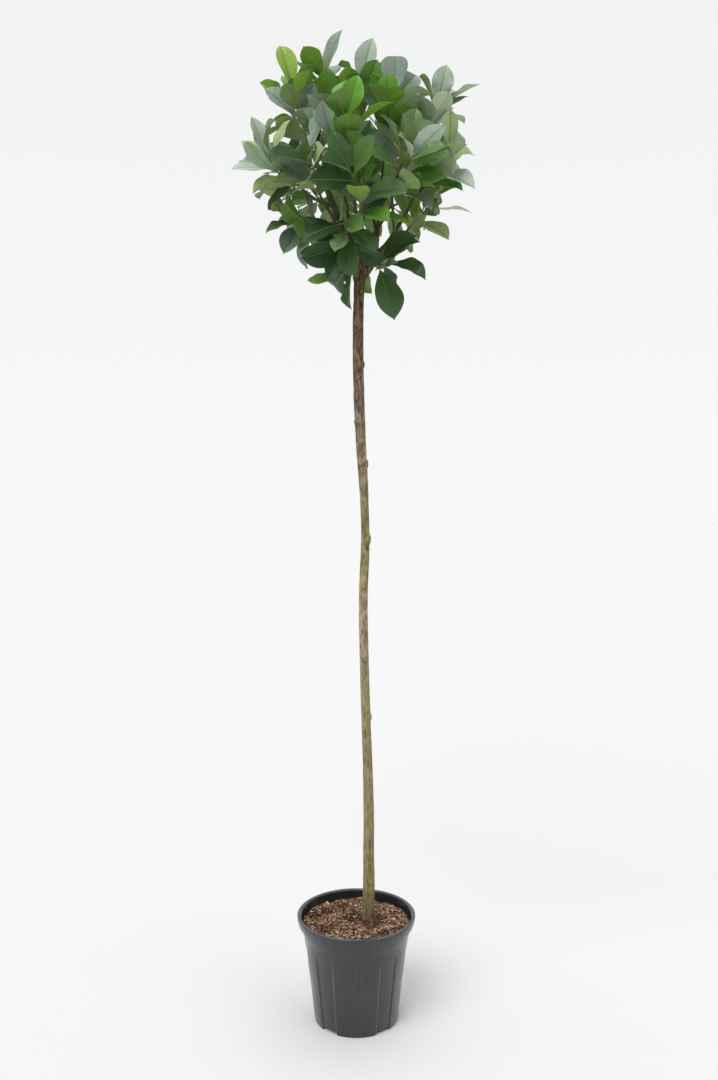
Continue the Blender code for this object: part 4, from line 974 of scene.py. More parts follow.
@dataclass
class Leaf:
    """A blade on a short stalk: where it starts, which way it runs and faces, and its size."""

    root: Vector
    along: Vector
    face: Vector
    length: float
    arch: float
    tone: str = ""
    order: int = 0

    def section(self, share, half_width, edge, keel):
        """Left edge, right edge and keel of the blade at this share of its length."""
        bend = self.arch * share
        run = math.sin(bend) / self.arch
        drop = (1 - math.cos(bend)) / self.arch
        centre = self.root + self.length * (self.along * run - self.face * drop)
        normal = self.face * math.cos(bend) + self.along * math.sin(bend)
        reach = self.along.cross(self.face) * half_width
        return [centre - reach + normal * edge, centre + reach + normal * edge, centre - normal * keel]

    def half_width(self, share):
        """The blade's outline: widest past its middle, then drawn in to a short point."""
        blade = (share - PETIOLE_SHARE) / (1 - PETIOLE_SHARE)
        if blade <= 0:
            return PETIOLE_RADIUS
        full = self.length * LEAF_WIDTH_SHARE / 2
        return max(PETIOLE_RADIUS, full * math.sin(math.pi * blade**LEAF_WIDEST) ** LEAF_FULLNESS)

    def solid(self, start=0.0, extra=0.0):
        """The leaf as points and faces, from this share of its length, made fatter all over by extra."""
        keel = self.length * LEAF_THICKNESS_SHARE + extra
        edge = self.length * LEAF_LIFTED_EDGE + extra
        stations = [start, *(share for share in LEAF_STATIONS if share > start)]
        points = []
        for share in stations:
            points += self.section(share, self.half_width(share) + 2 * extra, edge, keel)
        points.append(self.section(1.0 + 2 * extra / self.length, 0.0, 0.0, 0.0)[0])
        faces = [(2, 1, 0)]
        for k in range(0, 3 * len(stations) - 3, 3):
            for n, m in ((0, 1), (1, 2), (2, 0)):
                faces.append((k + n, k + m, k + 3 + m, k + 3 + n))
        last = len(points) - 1
        faces += [(last - 3 + n, last - 3 + m, last) for n, m in ((0, 1), (1, 2), (2, 0))]
        return points, faces

    def outline(self):
        """Points round the blade, for finding out where it reaches."""
        found = [self.section(1.0, 0.0, 0.0, 0.0)[0]]
        for share in LEAF_STATIONS:
            found += self.section(share, self.half_width(share), 0.0, 0.0)[:2]
        return found


@dataclass
class Placed:
    """A solid already grown, as the later ones see it. A leaf's own mass sees only its blade."""

    mass: str
    whole: BVHTree
    blade: BVHTree
    centre: Vector
    reach: float
    is_leaf: bool


def centre_and_reach(points):
    """The middle of some points, and how far the farthest lies from it."""
    centre = sum(points, Vector()) / len(points)
    return centre, max((point - centre).length for point in points)


def placed(mass, whole, blade=None):
    seen = BVHTree.FromPolygons(*whole)
    blade_seen = BVHTree.FromPolygons(*blade) if blade else seen
    return Placed(mass, seen, blade_seen, *centre_and_reach(whole[0]), bool(blade))


def free_of(shape, blade, mass, grown):
    """Whether a shape touches nothing that has grown. Near its own shoot only its blade is tested."""
    centre, reach = centre_and_reach(shape[0])
    whole_tree = BVHTree.FromPolygons(*shape)
    blade_tree = BVHTree.FromPolygons(*blade)
    for other in grown:
        if (other.centre - centre).length > other.reach + reach:
            continue
        if other.mass != mass:
            if whole_tree.overlap(other.whole):
                return False
        elif blade_tree.overlap(other.blade):
            return False
    return True


def distance_to_shoot(point, mass):
    """Distance from the straight line between the two ends of a mass's leading shoot."""
    first, last = mass.shoots[0][0][0], mass.shoots[0][0][-1]
    nearest, share = intersect_point_line(point, first, last)
    if share <= 0:
        nearest = first
    elif share >= 1:
        nearest = last
    return (point - nearest).length


def in_crown(points):
    """Whether points keep inside the crown's outline."""
    for point in points:
        if math.hypot(point.x, point.y) > interpolate(CROWN_OUTLINE, point.z):
            return False
        if not CROWN_OUTLINE[0][0] < point.z < CROWN_OUTLINE[-1][0]:
            return False
    return True


def in_own_space(points, mass):
    """Whether points are nearer this mass's leading shoot than any other mass's, give or take a little."""
    for point in points:
        allowed = distance_to_shoot(point, mass) - SPACE_SLACK
        if any(distance_to_shoot(point, other) < allowed for other in MASSES if other is not mass):
            return False
    return True


def shoot_line(start, towards, length):
    """A shoot that curves up a little towards the light."""
    return bent_line(start, towards, length, length * SHOOT_BOW, SHOOT_STATIONS)


def shoot_radii(foot):
    return [foot + (SHOOT_TIP_RADIUS - foot) * k / SHOOT_STATIONS for k in range(SHOOT_STATIONS + 1)]


def lead_shoots(limbs, grown):
    """The leading shoot of each mass. It starts inside its limb."""
    for mass in MASSES:
        line, radii = limbs[mass.limb]
        start = along_line(line, mass.share)
        foot_radius = radii[-1] if mass.share == 1.0 else LEAD_SHOOT_RADIUS
        if mass.share == 1.0:
            start -= line_direction(line, 1.0) * foot_radius
        shoot = shoot_line(start, direction(mass.azimuth, mass.rise), mass.length)
        mass.shoots.append((shoot, shoot_radii(foot_radius)))
        grown.append(placed(mass.name, tube(*mass.shoots[0], SHOOT_SIDES)))


def side_shoots(mass, rng, grown):
    lead = mass.shoots[0][0]
    radii = shoot_radii(SIDE_SHOOT_RADIUS)
    for k in range(mass.side_shoots):
        for _ in range(LEAF_TRIES):
            share = SIDE_SHOOT_FIRST + SIDE_SHOOT_SPREAD * (k + rng.random()) / mass.side_shoots
            start = along_line(lead, share)
            turn = rng.uniform(0, math.tau)
            angle = math.radians(rng.uniform(*SIDE_SHOOT_ANGLE))
            towards = leaning(line_direction(lead, share), turn, angle)
            outward = (start - CROWN_HEART).normalized()
            towards = (towards + outward * SIDE_SHOOT_OUTWARD).normalized()
            line = shoot_line(start, towards, rng.uniform(*SIDE_SHOOT_LENGTH))
            fat = tube(line[1:], [radius + CLEARANCE for radius in radii[1:]], SHOOT_SIDES)
            if in_crown(line) and in_own_space(line, mass) and free_of(fat, fat, mass.name, grown):
                mass.shoots.append((line, radii))
                grown.append(placed(mass.name, tube(line, radii, SHOOT_SIDES)))
                break


def leaf_places(mass, rng):
    """Which shoot each leaf of a mass grows on, how far from its tip, and at what turn of the spiral."""
    places = []
    turns = [rng.uniform(0, 360) for _ in mass.shoots]
    shared = len(mass.shoots) * LEAVES_EACH
    for rank in range(mass.leaves):
        order, shoot = divmod(rank, len(mass.shoots))
        if len(mass.shoots) > 1 and rank >= shared:
            shoot, order = 0, rank - shared + LEAVES_EACH
        places.append((shoot, order, turns[shoot] + SPIRAL * order))
    return places


def turned_leaf(mass, place, loose, rng):
    """A leaf at its place on the spiral, the more freely turned the looser it is."""
    shoot, order, turn = place
    line = mass.shoots[shoot][0]
    share = max(LOWEST_LEAF, 1 - from_tip(order) / line_length(line))
    root = along_line(line, share)
    ahead = line_direction(line, share)
    age = min(1.0, order / LEAF_AGED)
    around = math.radians(turn + rng.uniform(-1, 1) * (LEAF_TURN[0] + LEAF_TURN[1] * loose))
    angle = LEAF_ANGLE[0] + (LEAF_ANGLE[1] - LEAF_ANGLE[0]) * age
    angle = math.radians(angle + rng.uniform(-LEAF_ANGLE_PLAY, LEAF_ANGLE_PLAY))
    along = leaning(ahead, around, angle)
    outward = (root - CROWN_HEART).normalized()
    along += outward * LEAF_OUTWARD * (1 - mass.lift)
    along = (along + UP * mass.lift * rng.uniform(*LEAF_LIFT)).normalized()
    face = across(ahead * LEAF_FACES[0] + UP * LEAF_FACES[1] + outward * LEAF_FACES[2], along)
    roll = math.radians(rng.uniform(-LEAF_ROLL, LEAF_ROLL))
    face = face * math.cos(roll) + along.cross(face) * math.sin(roll)
    grown_share = TIP_LEAF_SIZE + LEAF_SIZE_GAIN * min(1.0, order / LEAF_FULL_GROWN)
    size = rng.uniform(*LEAF_LENGTH) * (1 - LOOSE_LEAF_SHRINK * loose) * grown_share
    return Leaf(root, along, face, size, math.radians(rng.uniform(*LEAF_ARCH)))


def fits(leaf, mass, grown):
    """Whether a leaf keeps to its mass's space and touches nothing that has grown."""
    if not in_own_space(leaf.outline(), mass):
        return False
    return free_of(leaf.solid(0.0, CLEARANCE), leaf.solid(BARE_SHARE, CLEARANCE), mass.name, grown)


def add_leaf(leaf, mass, grown):
    mass.grown.append(leaf)
    grown.append(placed(mass.name, leaf.solid(), leaf.solid(BARE_SHARE)))


def grow_first_leaves(grown):
    by_name = {mass.name: mass for mass in MASSES}
    for row in FIRST_LEAVES:
        mass = by_name[row.mass]
        along = direction(row.azimuth, row.rise)
        face = across(direction(row.face_azimuth, row.face_rise), along)
        root = along_line(mass.shoots[0][0], row.share)
        leaf = Leaf(root, along, face, row.length, math.radians(FIRST_LEAF_ARCH), row.tone)
        if fits(leaf, mass, grown):
            add_leaf(leaf, mass, grown)


def grow_leaf(mass, place, rng, grown, size=1.0):
    """Turns a leaf several ways at its place and keeps the one with the most room, or skips it."""
    best, most_room = None, 0.0
    for attempt in range(LEAF_TRIES):
        leaf = turned_leaf(mass, place, attempt / LEAF_TRIES, rng)
        leaf.length *= size
        centre = leaf.section(LEAF_MIDDLE, 0.0, 0.0, 0.0)[0]
        room = min((centre - other.centre).length for other in grown if other.is_leaf)
        if room > most_room and in_crown(leaf.outline()) and fits(leaf, mass, grown):
            best, most_room = leaf, room
    if best:
        best.order = place[1]
        add_leaf(best, mass, grown)


def grow_crown(limbs):
    """Grows all masses together, a leaf of each in turn, so that none takes its neighbours' room."""
    grown = [placed("limb", stem_tube(CLEARANCE))]
    for line, radii in (limbs[bough.name] for bough in (FORK, *BOUGHS)):
        grown.append(placed("limb", tube(line, [radius + GAP for radius in radii], BOUGH_SIDES)))
    lead_shoots(limbs, grown)
    dice = {mass.name: random.Random(f"{mass.name} {CROWN_SEED}") for mass in MASSES}
    grow_first_leaves(grown)
    for mass in MASSES:
        side_shoots(mass, dice[mass.name], grown)
    places = {mass.name: leaf_places(mass, dice[mass.name]) for mass in MASSES}
    for rank in range(max(mass.leaves for mass in MASSES)):
        for mass in MASSES:
            if rank < mass.leaves:
                grow_leaf(mass, places[mass.name][rank], dice[mass.name], grown)
    return grown


class Pile:
    """Points, faces and material slots of many small things, gathered to be joined in one piece."""

    def __init__(self):
        self.points, self.faces, self.slots, self.count = [], [], [], 0

    def add(self, points, faces, slots):
        """Adds points (n, 3) and faces (m, 4), where a face of three corners ends in -1."""
        self.points.append(np.asarray(points, float))
        faces = np.asarray(faces, int)
        self.faces.append(np.where(faces >= 0, faces + self.count, -1))
        self.slots.append(np.broadcast_to(np.asarray(slots, int), len(faces)))
        self.count += len(points)

    def triangles(self):
        return sum(int((faces[:, 3] >= 0).sum()) + len(faces) for faces in self.faces)

    def piece(self, name, looks, sharp=None):
        points, faces = np.concatenate(self.points), np.concatenate(self.faces)
        corners = 3 + (faces[:, 3] >= 0).astype(np.int32)
        mesh = bpy.data.meshes.new(name)
        mesh.vertices.add(len(points))
        mesh.vertices.foreach_set("co", points.astype(np.float32).ravel())
        mesh.loops.add(int(corners.sum()))
        mesh.loops.foreach_set("vertex_index", faces[faces >= 0].astype(np.int32))
        mesh.polygons.add(len(faces))
        starts = np.concatenate([[0], np.cumsum(corners)[:-1]]).astype(np.int32)
        mesh.polygons.foreach_set("loop_start", starts)
        mesh.polygons.foreach_set("material_index", np.concatenate(self.slots).astype(np.int32))
        for look in looks:
            mesh.materials.append(look)
        mesh.update(calc_edges=True)
        if sharp is None:
            mesh.shade_flat()
        else:
            mesh.shade_smooth()
            mesh.set_sharp_from_angle(angle=math.radians(sharp))
        obj = bpy.data.objects.new(name, mesh)
        bpy.context.scene.collection.objects.link(obj)
        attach(obj, "root")
        return obj


def ring_faces(rings, columns):
    """Faces between rings of points, each ring closed on itself."""
    start = np.arange(rings - 1)[:, None] * columns
    column = np.arange(columns)[None, :]
    low, right = start + column, start + (column + 1) % columns
    return np.stack([low, right, right + columns, low + columns], -1).reshape(-1, 4)


def end_faces(first, columns, outward):
    """A fan of triangles over a ring that starts at this point."""
    fan = [(first, first + k + 1, first + k, -1) for k in range(1, columns - 1)]
    return [(a, c, b, -1) for a, b, c, _ in fan] if outward else fan


def closed_faces(rings, columns):
    """Faces between rings of points, with a fan over the first ring and one over the last."""
    return [
        *ring_faces(rings, columns),
        *end_faces(0, columns, False),
        *end_faces((rings - 1) * columns, columns, True),
    ]


def fine_tube(line, radii, columns):
    """Points (rings, columns, 3) and closed faces of a round limb, with no twist along it."""
    centres = np.array([tuple(point) for point in line])
    ahead = np.gradient(centres, axis=0)
    ahead /= np.linalg.norm(ahead, axis=1)[:, None]
    side = np.cross(ahead[0], (0.0, 1.0, 0.0))
    turns = np.arange(columns) * math.tau / columns
    rings = []
    for centre, towards, radius in zip(centres, ahead, radii):
        side = side - towards * side.dot(towards)
        side = side / np.linalg.norm(side)
        spoke = np.cos(turns)[:, None] * side + np.sin(turns)[:, None] * np.cross(towards, side)
        rings.append(centre + spoke * np.broadcast_to(radius, columns)[:, None])
    return np.concatenate(rings), closed_faces(len(rings), columns)


def noise(across_limb, along_limb, period, seed):
    """Smooth random values from 0 to 1 that repeat round the limb after this many steps across."""
    table = np.random.default_rng(seed).random((period, NOISE_LENGTH))
    u, v = np.mod(across_limb, period), np.mod(along_limb, NOISE_LENGTH)
    i, j = np.floor(u).astype(int) % period, np.floor(v).astype(int) % NOISE_LENGTH
    s, t = u - np.floor(u), v - np.floor(v)
    s, t = s * s * (3 - 2 * s), t * t * (3 - 2 * t)
    i2, j2 = (i + 1) % period, (j + 1) % NOISE_LENGTH
    low = table[i, j] * (1 - s) + table[i2, j] * s
    high = table[i, j2] * (1 - s) + table[i2, j2] * s
    return low * (1 - t) + high * t


def skin_noise(turn, run, round_limb, per_metre, seed):
    """Noise on a limb's skin: this many waves round it and this many a metre along it."""
    return noise(turn * round_limb, run * per_metre, round_limb, seed)


def ramp(values, start, end):
    """0 before start, 1 after end and smooth between."""
    share = np.clip((values - start) / (end - start), 0.0, 1.0)
    return share * share * (3 - 2 * share)


def add_node(tree, kind, inputs=None, **settings):
    """A shader node. Each of its inputs takes a value, or the socket that feeds it."""
    made = tree.nodes.new(kind)
    for key, value in settings.items():
        setattr(made, key, value)
    for key, value in (inputs or {}).items():
        if isinstance(value, bpy.types.NodeSocket):
            tree.links.new(value, made.inputs[key])
        else:
            made.inputs[key].default_value = value
    return made


def mapped(tree, value, limits, ends, kind="LINEAR"):
    """Maps a value between two limits to another pair, clamped."""
    names = ("From Min", "From Max", "To Min", "To Max")
    inputs = {"Value": value, **dict(zip(names, (*limits, *ends)))}
    return add_node(tree, "ShaderNodeMapRange", inputs, interpolation_type=kind).outputs["Result"]


class Look:
    """A material built from nodes on one Principled shader."""

    def __init__(self, name, colour, roughness, coat=0.0, coat_roughness=0.2, specular=0.5):
        self.material = bpy.data.materials.new(name)
        self.material.use_nodes = True
        self.tree = self.material.node_tree
        self.shader = self.tree.nodes["Principled BSDF"]
        self.shader.inputs["Base Color"].default_value = (*colour, 1.0)
        self.shader.inputs["Roughness"].default_value = roughness
        self.shader.inputs["Specular IOR Level"].default_value = specular
        self.shader.inputs["Coat Weight"].default_value = coat
        self.shader.inputs["Coat Roughness"].default_value = coat_roughness
        self.place = self.tree.nodes.new("ShaderNodeTexCoord").outputs["Object"]
        self.material.diffuse_color = (*colour, 1.0)

    def node(self, kind, inputs, **settings):
        return add_node(self.tree, kind, inputs, **settings)

    def stretched(self, scale):
        """The object's own coordinates, scaled along each axis."""
        if scale is None:
            return self.place
        return self.node("ShaderNodeMapping", {"Vector": self.place, "Scale": scale}).outputs["Vector"]

    def noise(self, scale, detail=4.0, roughness=0.55, stretch=None):
        where = self.stretched(stretch)
        inputs = {"Vector": where, "Scale": scale, "Detail": detail, "Roughness": roughness}
        return self.node("ShaderNodeTexNoise", inputs).outputs["Fac"]

    def spots(self, scale, stretch):
        inputs = {"Vector": self.stretched(stretch), "Scale": scale}
        return self.node("ShaderNodeTexVoronoi", inputs).outputs["Distance"]

    def steps(self, value, low, high, first=0.0, last=1.0):
        """Rises smoothly from the first number to the last, as a value goes from low to high."""
        return mapped(self.tree, value, (low, high), (first, last), "SMOOTHSTEP")

    def pattern(self, settings, steps):
        return self.steps(self.noise(*settings), *steps)

    def colours(self, value, stops):
        """A colour for each value, from stops of a value and a colour."""
        made = self.node("ShaderNodeValToRGB", {"Fac": value})
        strip = made.color_ramp
        while len(strip.elements) < len(stops):
            strip.elements.new(0.5)
        for element, (position, colour) in zip(strip.elements, stops):
            element.position = position
            element.color = (*colour, 1.0)
        return made.outputs["Color"]

    def mix(self, share, *colours, blend="MIX"):
        """The first colour with this share of the second one."""
        values = [(*value, 1.0) if isinstance(value, tuple) else value for value in colours]
        inputs = dict(zip(MIX_SOCKETS, (share, *values)))
        made = self.node("ShaderNodeMix", inputs, data_type="RGBA", blend_type=blend)
        return made.outputs[MIX_RESULT]

    def math(self, operation, first, second):
        return self.node("ShaderNodeMath", {0: first, 1: second}, operation=operation).outputs["Value"]

    def height(self, low, high):
        """Height, from 0 at one level to 1 at another."""
        z = self.node("ShaderNodeSeparateXYZ", {"Vector": self.place}).outputs["Z"]
        return mapped(self.tree, z, (low, high), (0.0, 1.0))

    def use(self, **sockets):
        """Links values to the shader's inputs of these names."""
        for key, value in sockets.items():
            self.tree.links.new(value, self.shader.inputs[key.replace("_", " ")])

    def bump(self, value, distance):
        inputs = {"Height": value, "Distance": distance, "Strength": 1.0}
        self.use(Normal=self.node("ShaderNodeBump", inputs).outputs["Normal"])

    def grain(self, settings, height):
        self.bump(self.noise(*settings), height)


def pot_look():
    """Black plastic under a clear coat, rubbed paler in places and paler in streaks, its roughness varying.
    """
    look = Look("pot_plastic", POT_COLOUR, **POT_GLOSS)
    rubbed = look.pattern(*POT_RUBS)
    streaks = look.pattern(*POT_STREAKS)
    base = look.mix(streaks, look.mix(rubbed, POT_DARK, POT_RUBBED), POT_STREAKED)
    look.use(Base_Color=base, Roughness=look.pattern(*POT_ROUGHNESS))
    return look.material


def soil_look():
    look = Look("soil_bed", SOIL_COLOUR, **SOIL_GLOSS)
    settings, height = SOIL_CRUMBS
    crumbs = look.noise(*settings)
    look.use(Base_Color=look.colours(crumbs, SOIL_GRAIN))
    look.bump(crumbs, height)
    return look.material


def chip_look(name, colour):
    look = Look(name, colour, **CHIP_GLOSS)
    settings, height = CHIP_GRAIN
    grain = look.noise(*settings)
    shades = [tuple(min(1.0, value * shade) for value in colour) for shade in CHIP_SHADES]
    look.use(Base_Color=look.colours(grain, list(zip(CHIP_GRAIN_ENDS, shades))))
    look.bump(grain, height)
    return look.material


def stem_look():
    """Bark: olive low down, grey-brown and mottled higher up, red-brown and cracked under the crown."""
    look = Look("stem_bark", STEM_COLOUR, **STEM_GLOSS)
    wander = look.math("MULTIPLY", look.math("SUBTRACT", look.noise(*WANDER), 0.5), WANDER_REACH)
    where = look.math("ADD", look.height(SOIL_LEVEL, BARK_TOP), wander)
    base = look.colours(where, BARK_BY_HEIGHT)
    base = look.mix(look.pattern(*GREY_PATCHES), base, look.colours(where, BARK_GREY))
    base = look.mix(look.pattern(*DARK_STREAKS), base, look.colours(where, BARK_STREAK))
    shaded = look.steps(where, *SHADED_STEPS)
    base = look.mix(shaded, base, look.pattern(*SHADES), blend="MULTIPLY")
    cracks = look.math("MULTIPLY", look.pattern(*CRACKS), look.steps(where, *CRACKED_STEPS))
    base = look.mix(cracks, base, CRACK_COLOUR)
    dots = look.steps(look.spots(*PORE_SPOTS), *PORE_STEPS)
    dots = look.math("MULTIPLY", dots, look.pattern(*PORE_PATCHES))
    look.use(Base_Color=look.mix(dots, base, PORE_COLOUR))
    look.grain(*STEM_GRAIN)
    return look.material


def bough_look():
    """Young bark: dark green-brown, orange-brown where the boughs leave the head of the stem."""
    look = Look("bough_bark", BOUGH_COLOUR, **BOUGH_GLOSS)
    base = look.colours(look.height(*BOUGH_HEIGHTS), BOUGH_BY_HEIGHT)
    look.use(Base_Color=look.mix(look.pattern(*BOUGH_MOTTLES), base, BOUGH_MOTTLE))
    look.grain(*BOUGH_GRAIN)
    return look.material


def twig_look(name, colour, other):
    look = Look(name, colour, **TWIG_GLOSS)
    look.use(Base_Color=look.mix(look.pattern(*TWIG_PATCHES), colour, other))
    look.grain(*TWIG_GRAIN)
    return look.material


def leaf_look(name, colour, roughness, coat):
    """One plain tone with a leathery surface: its pattern is only in its gloss and its grain."""
    gloss = {"coat": coat, "coat_roughness": LEAF_COAT_ROUGHNESS, "specular": SHEEN.get(name, PLAIN_SHEEN)}
    look = Look(f"leaf_{name}", colour, roughness, **gloss)
    shine = [roughness + play for play in LEAF_SHINE_PLAY]
    look.use(Roughness=look.pattern(LEAF_SHINE, (*LEAF_SHINE_ENDS, *shine)))
    look.grain(*LEAF_GRAIN)
    return look.material


def pot_rings():
    """Height and radius down the outside of the pot, over the rim and down the inside."""
    outside = fine_profile([(0.0, POT_FOOT_OUTSIDE), *POT_OUTSIDE])
    inside = fine_profile([*RIM_INSIDE, *reversed(pot_inside())])
    return [*outside, *inside]


def fine_profile(knots):
    """Straight steps between knots, so that light falls evenly along the wall."""
    made = []
    for (low, first), (high, second) in zip(knots, knots[1:]):
        shares = [k / PROFILE_STEPS for k in range(PROFILE_STEPS)]
        made += [(low + (high - low) * share, first + (second - first) * share) for share in shares]
    return [*made, knots[-1]]


def make_pot():
    """The pot's wall and foot, its flutes with soft edges and rounded tops."""
    turns = np.arange(POT_COLUMNS) * math.tau / POT_COLUMNS
    angle = (np.degrees(turns) + 180) % 360 - 180
    depth = np.zeros_like(angle)
    half = FLUTE_FLOOR / 2
    for place in FLUTE_PLACES:
        off = np.abs(np.abs(angle) - place)
        depth = np.maximum(depth, 1 - ramp(off, half - FLUTE_CORNER, half + FLUTE_EDGE))
    under = [
        (0.0, POT_MIDDLE),
        (0.0, POT_DISC_RADIUS),
        (POT_CHANNEL, POT_DISC_RADIUS + FOOT_ROUND),
        (POT_CHANNEL, POT_FOOT_INSIDE - FOOT_ROUND),
        (0.0, POT_FOOT_INSIDE),
    ]
    rings = [*under, *pot_rings(), (POT_FLOOR, POT_MIDDLE)]
    points = []
    for height, radius in rings:
        outside = radius >= POT_FOOT_OUTSIDE and height < FLUTE_TOP + FLUTE_PLAIN
        at_foot = radius >= POT_FOOT_INSIDE - FOOT_ROUND and height < POT_CHANNEL
        run_out = ramp(height, FLUTE_TOP - FLUTE_RUN_OUT[0], FLUTE_TOP + FLUTE_RUN_OUT[1])
        wall = radius - FLUTE_DEPTH * depth * (1 - run_out) * outside
        lift = (POT_CHANNEL - height / 2) * depth * at_foot
        points.append(np.stack([wall * np.sin(turns), -wall * np.cos(turns), height + lift], -1))
    pile = Pile()
    pile.add(np.concatenate(points), closed_faces(len(rings), POT_COLUMNS), 0)
    pot = pile.piece("pot_shell", [pot_look()], POT_CREASE)
    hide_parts("pot")


def soil_top(x, y):
    """The uneven top of the soil, as in the solid, with crumbs."""
    foot = np.hypot(x - STEM_LINE[0][1], y - STEM_LINE[0][2])
    fade = np.clip((foot - FOOT_PATCH) / FOOT_FADE, 0.0, 1.0)
    lumps = sum(np.sin(right * x + back * y + start) for right, back, start in SOIL_WAVES)
    return SOIL_LEVEL + SOIL_LUMPS * fade * (lumps / 2 - SOIL_SINK)


def make_soil():
    """A dark bed with its own crumbs, then chips and fibres strewn over it."""
    turns = np.arange(SOIL_COLUMNS) * math.tau / SOIL_COLUMNS
    radii = SOIL_BRIM_RADIUS * np.linspace(1.0, SOIL_MIDDLE_SHARE, SOIL_ROWS)
    x = radii[:, None] * np.cos(turns)[None, :]
    y = radii[:, None] * np.sin(turns)[None, :]
    crumb_places = [at * CRUMBS_PER_METRE + CRUMB_START for at in (x, y)]
    crumbs = noise(*crumb_places, CRUMB_PERIOD, CRUMB_SEED) - 0.5
    z = soil_top(x, y) + CRUMB_HEIGHT * crumbs - BED_SINK
    skirt_foot = np.full(SOIL_COLUMNS, SOIL_LEVEL - SKIRT_DEPTH)
    skirt = np.stack([x[0] * SKIRT_SHARE, y[0] * SKIRT_SHARE, skirt_foot], -1)
    points = np.concatenate([skirt, np.stack([x, y, z], -1).reshape(-1, 3)])
    bed = Pile()
    bed.add(points, closed_faces(SOIL_ROWS + 1, SOIL_COLUMNS), 0)
    soil = bed.piece("soil_bed", [soil_look()], SOIL_CREASE)
    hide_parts("soil")
    strew_soil()


def damp_share(x, y):
    """How damp the soil is at a place, from 0 to 1."""
    waves = sum(math.sin(right * x + back * y + start) for right, back, start in DAMP_WAVES)
    return float(ramp(waves, *DAMP_EDGES))


def rotation(first, second, angle):
    """A turn by this angle from one axis towards another, each given by its number."""
    turned = np.eye(3)
    turned[first, first] = turned[second, second] = math.cos(angle)
    turned[first, second] = math.sin(angle)
    turned[second, first] = -math.sin(angle)
    return turned


def chip_size(dice, fibre):
    """Length, width and thickness of a chip, or of a fibre."""
    size = np.array([dice.uniform(*ends) for ends in (CHIP_LENGTH, CHIP_WIDTH, CHIP_THICKNESS)])
    size[0] *= dice.uniform(*CHIP_CUT)
    return np.array([dice.uniform(*FIBRE_LENGTH), FIBRE_WIDTH, FIBRE_THICKNESS]) if fibre else size


def strew_soil():
    dice = np.random.default_rng(SOIL_SEED)
    looks = [chip_look(name, colour) for name, colour in SOIL_TONES.items()]
    corners = np.array([(i, j, k) for i in (-1, 1) for j in (-1, 1) for k in (-1, 1)], float) / 2
    foot = np.array(STEM_LINE[0][1:])
    brim = SOIL_BRIM_RADIUS
    pile = Pile()
    for number in range(CHIP_COUNT + FIBRE_COUNT):
        size = chip_size(dice, number >= CHIP_COUNT)
        reach = brim - size[0] / 2 - CHIP_WALL_GAP
        spot = dice.uniform(-brim, brim, 2)
        while np.hypot(*spot) > reach or np.hypot(*(spot - foot)) < CHIP_STEM_GAP:
            spot = dice.uniform(-brim, brim, 2)
        turn, tip, roll = dice.uniform(0, math.tau), dice.normal(0, CHIP_TIP), dice.normal(0, CHIP_ROLL)
        shape = corners * (1 + dice.uniform(*CHIP_UNEVEN, corners.shape)) * size
        shape = shape @ rotation(1, 2, roll) @ rotation(0, 2, tip) @ rotation(0, 1, turn)
        level = float(soil_top(*spot)) + dice.uniform(*CHIP_LEVEL)
        tone = dice.choice(len(looks), p=SOIL_SHARES)
        if dice.random() < DAMP_SHARE * damp_share(*spot):
            tone = min(tone, dice.integers(0, DAMP_TONES))
        pile.add(shape + [*spot, level], BOX_FACES, tone)
    chips = pile.piece("soil_chips", looks)


def azimuth_off(angle, azimuth):
    return (angle - math.radians(azimuth) + math.pi) % math.tau - math.pi


def bark_relief(angle, height, radius):
    """How far the bark stands out from the smooth stem, from its cracks, lumps, pores and old scars."""
    turn = angle / math.tau
    cracked = ramp(height, CRACKED_FROM, CRACKED_FULL) * (1 - CALM_SHARE * ramp(height, *CALM_HEIGHTS))
    furrow = sum(skin_noise(turn, height, *waves) * share for *waves, share in FURROWS)
    relief = -(LOW_CRACK + (HIGH_CRACK - LOW_CRACK) * cracked) * ramp(furrow, *FURROW_EDGES)
    for *waves, rise in LUMPS:
        relief += rise * (skin_noise(turn, height, *waves) - 0.5)
    pores = ramp(skin_noise(turn, height, *PORES), *PORE_EDGES)
    relief += LENTICEL_HEIGHT * pores * (1 - PORES_LOST * cracked)
    for level, tilt in stem_nodes():
        off = (height - level - NODE_TILT * np.cos(angle - tilt)) / NODE_HALF_WIDTH
        relief += NODE_RING_HEIGHT * np.exp(-off * off) * (0.5 + 0.5 * np.cos(angle - tilt))
    for level, azimuth, size in SCARS:
        sideways = azimuth_off(angle, azimuth) * radius
        off = np.hypot(sideways, (height - level) / SCAR_STRETCH) / size
        knob = (1 - SCAR_SINK) * size * np.exp(-((off / KNOB_SPREAD) ** KNOB_STEEPNESS))
        hollow = SCAR_HOLLOW * size * np.exp(-((off / HOLLOW_SPREAD) ** 2))
        relief += knob - hollow
    return relief


def stem_nodes():
    """Heights and azimuths of the faint rings left by old leaves and shoots."""
    dice = random.Random(NODE_SEED)
    level = SOIL_LEVEL + NODE_FIRST
    found = []
    while level < STEM_HEAD - NODE_LAST:
        found.append((level, dice.uniform(0, math.tau)))
        level += dice.uniform(*NODE_SPACING)
    return found


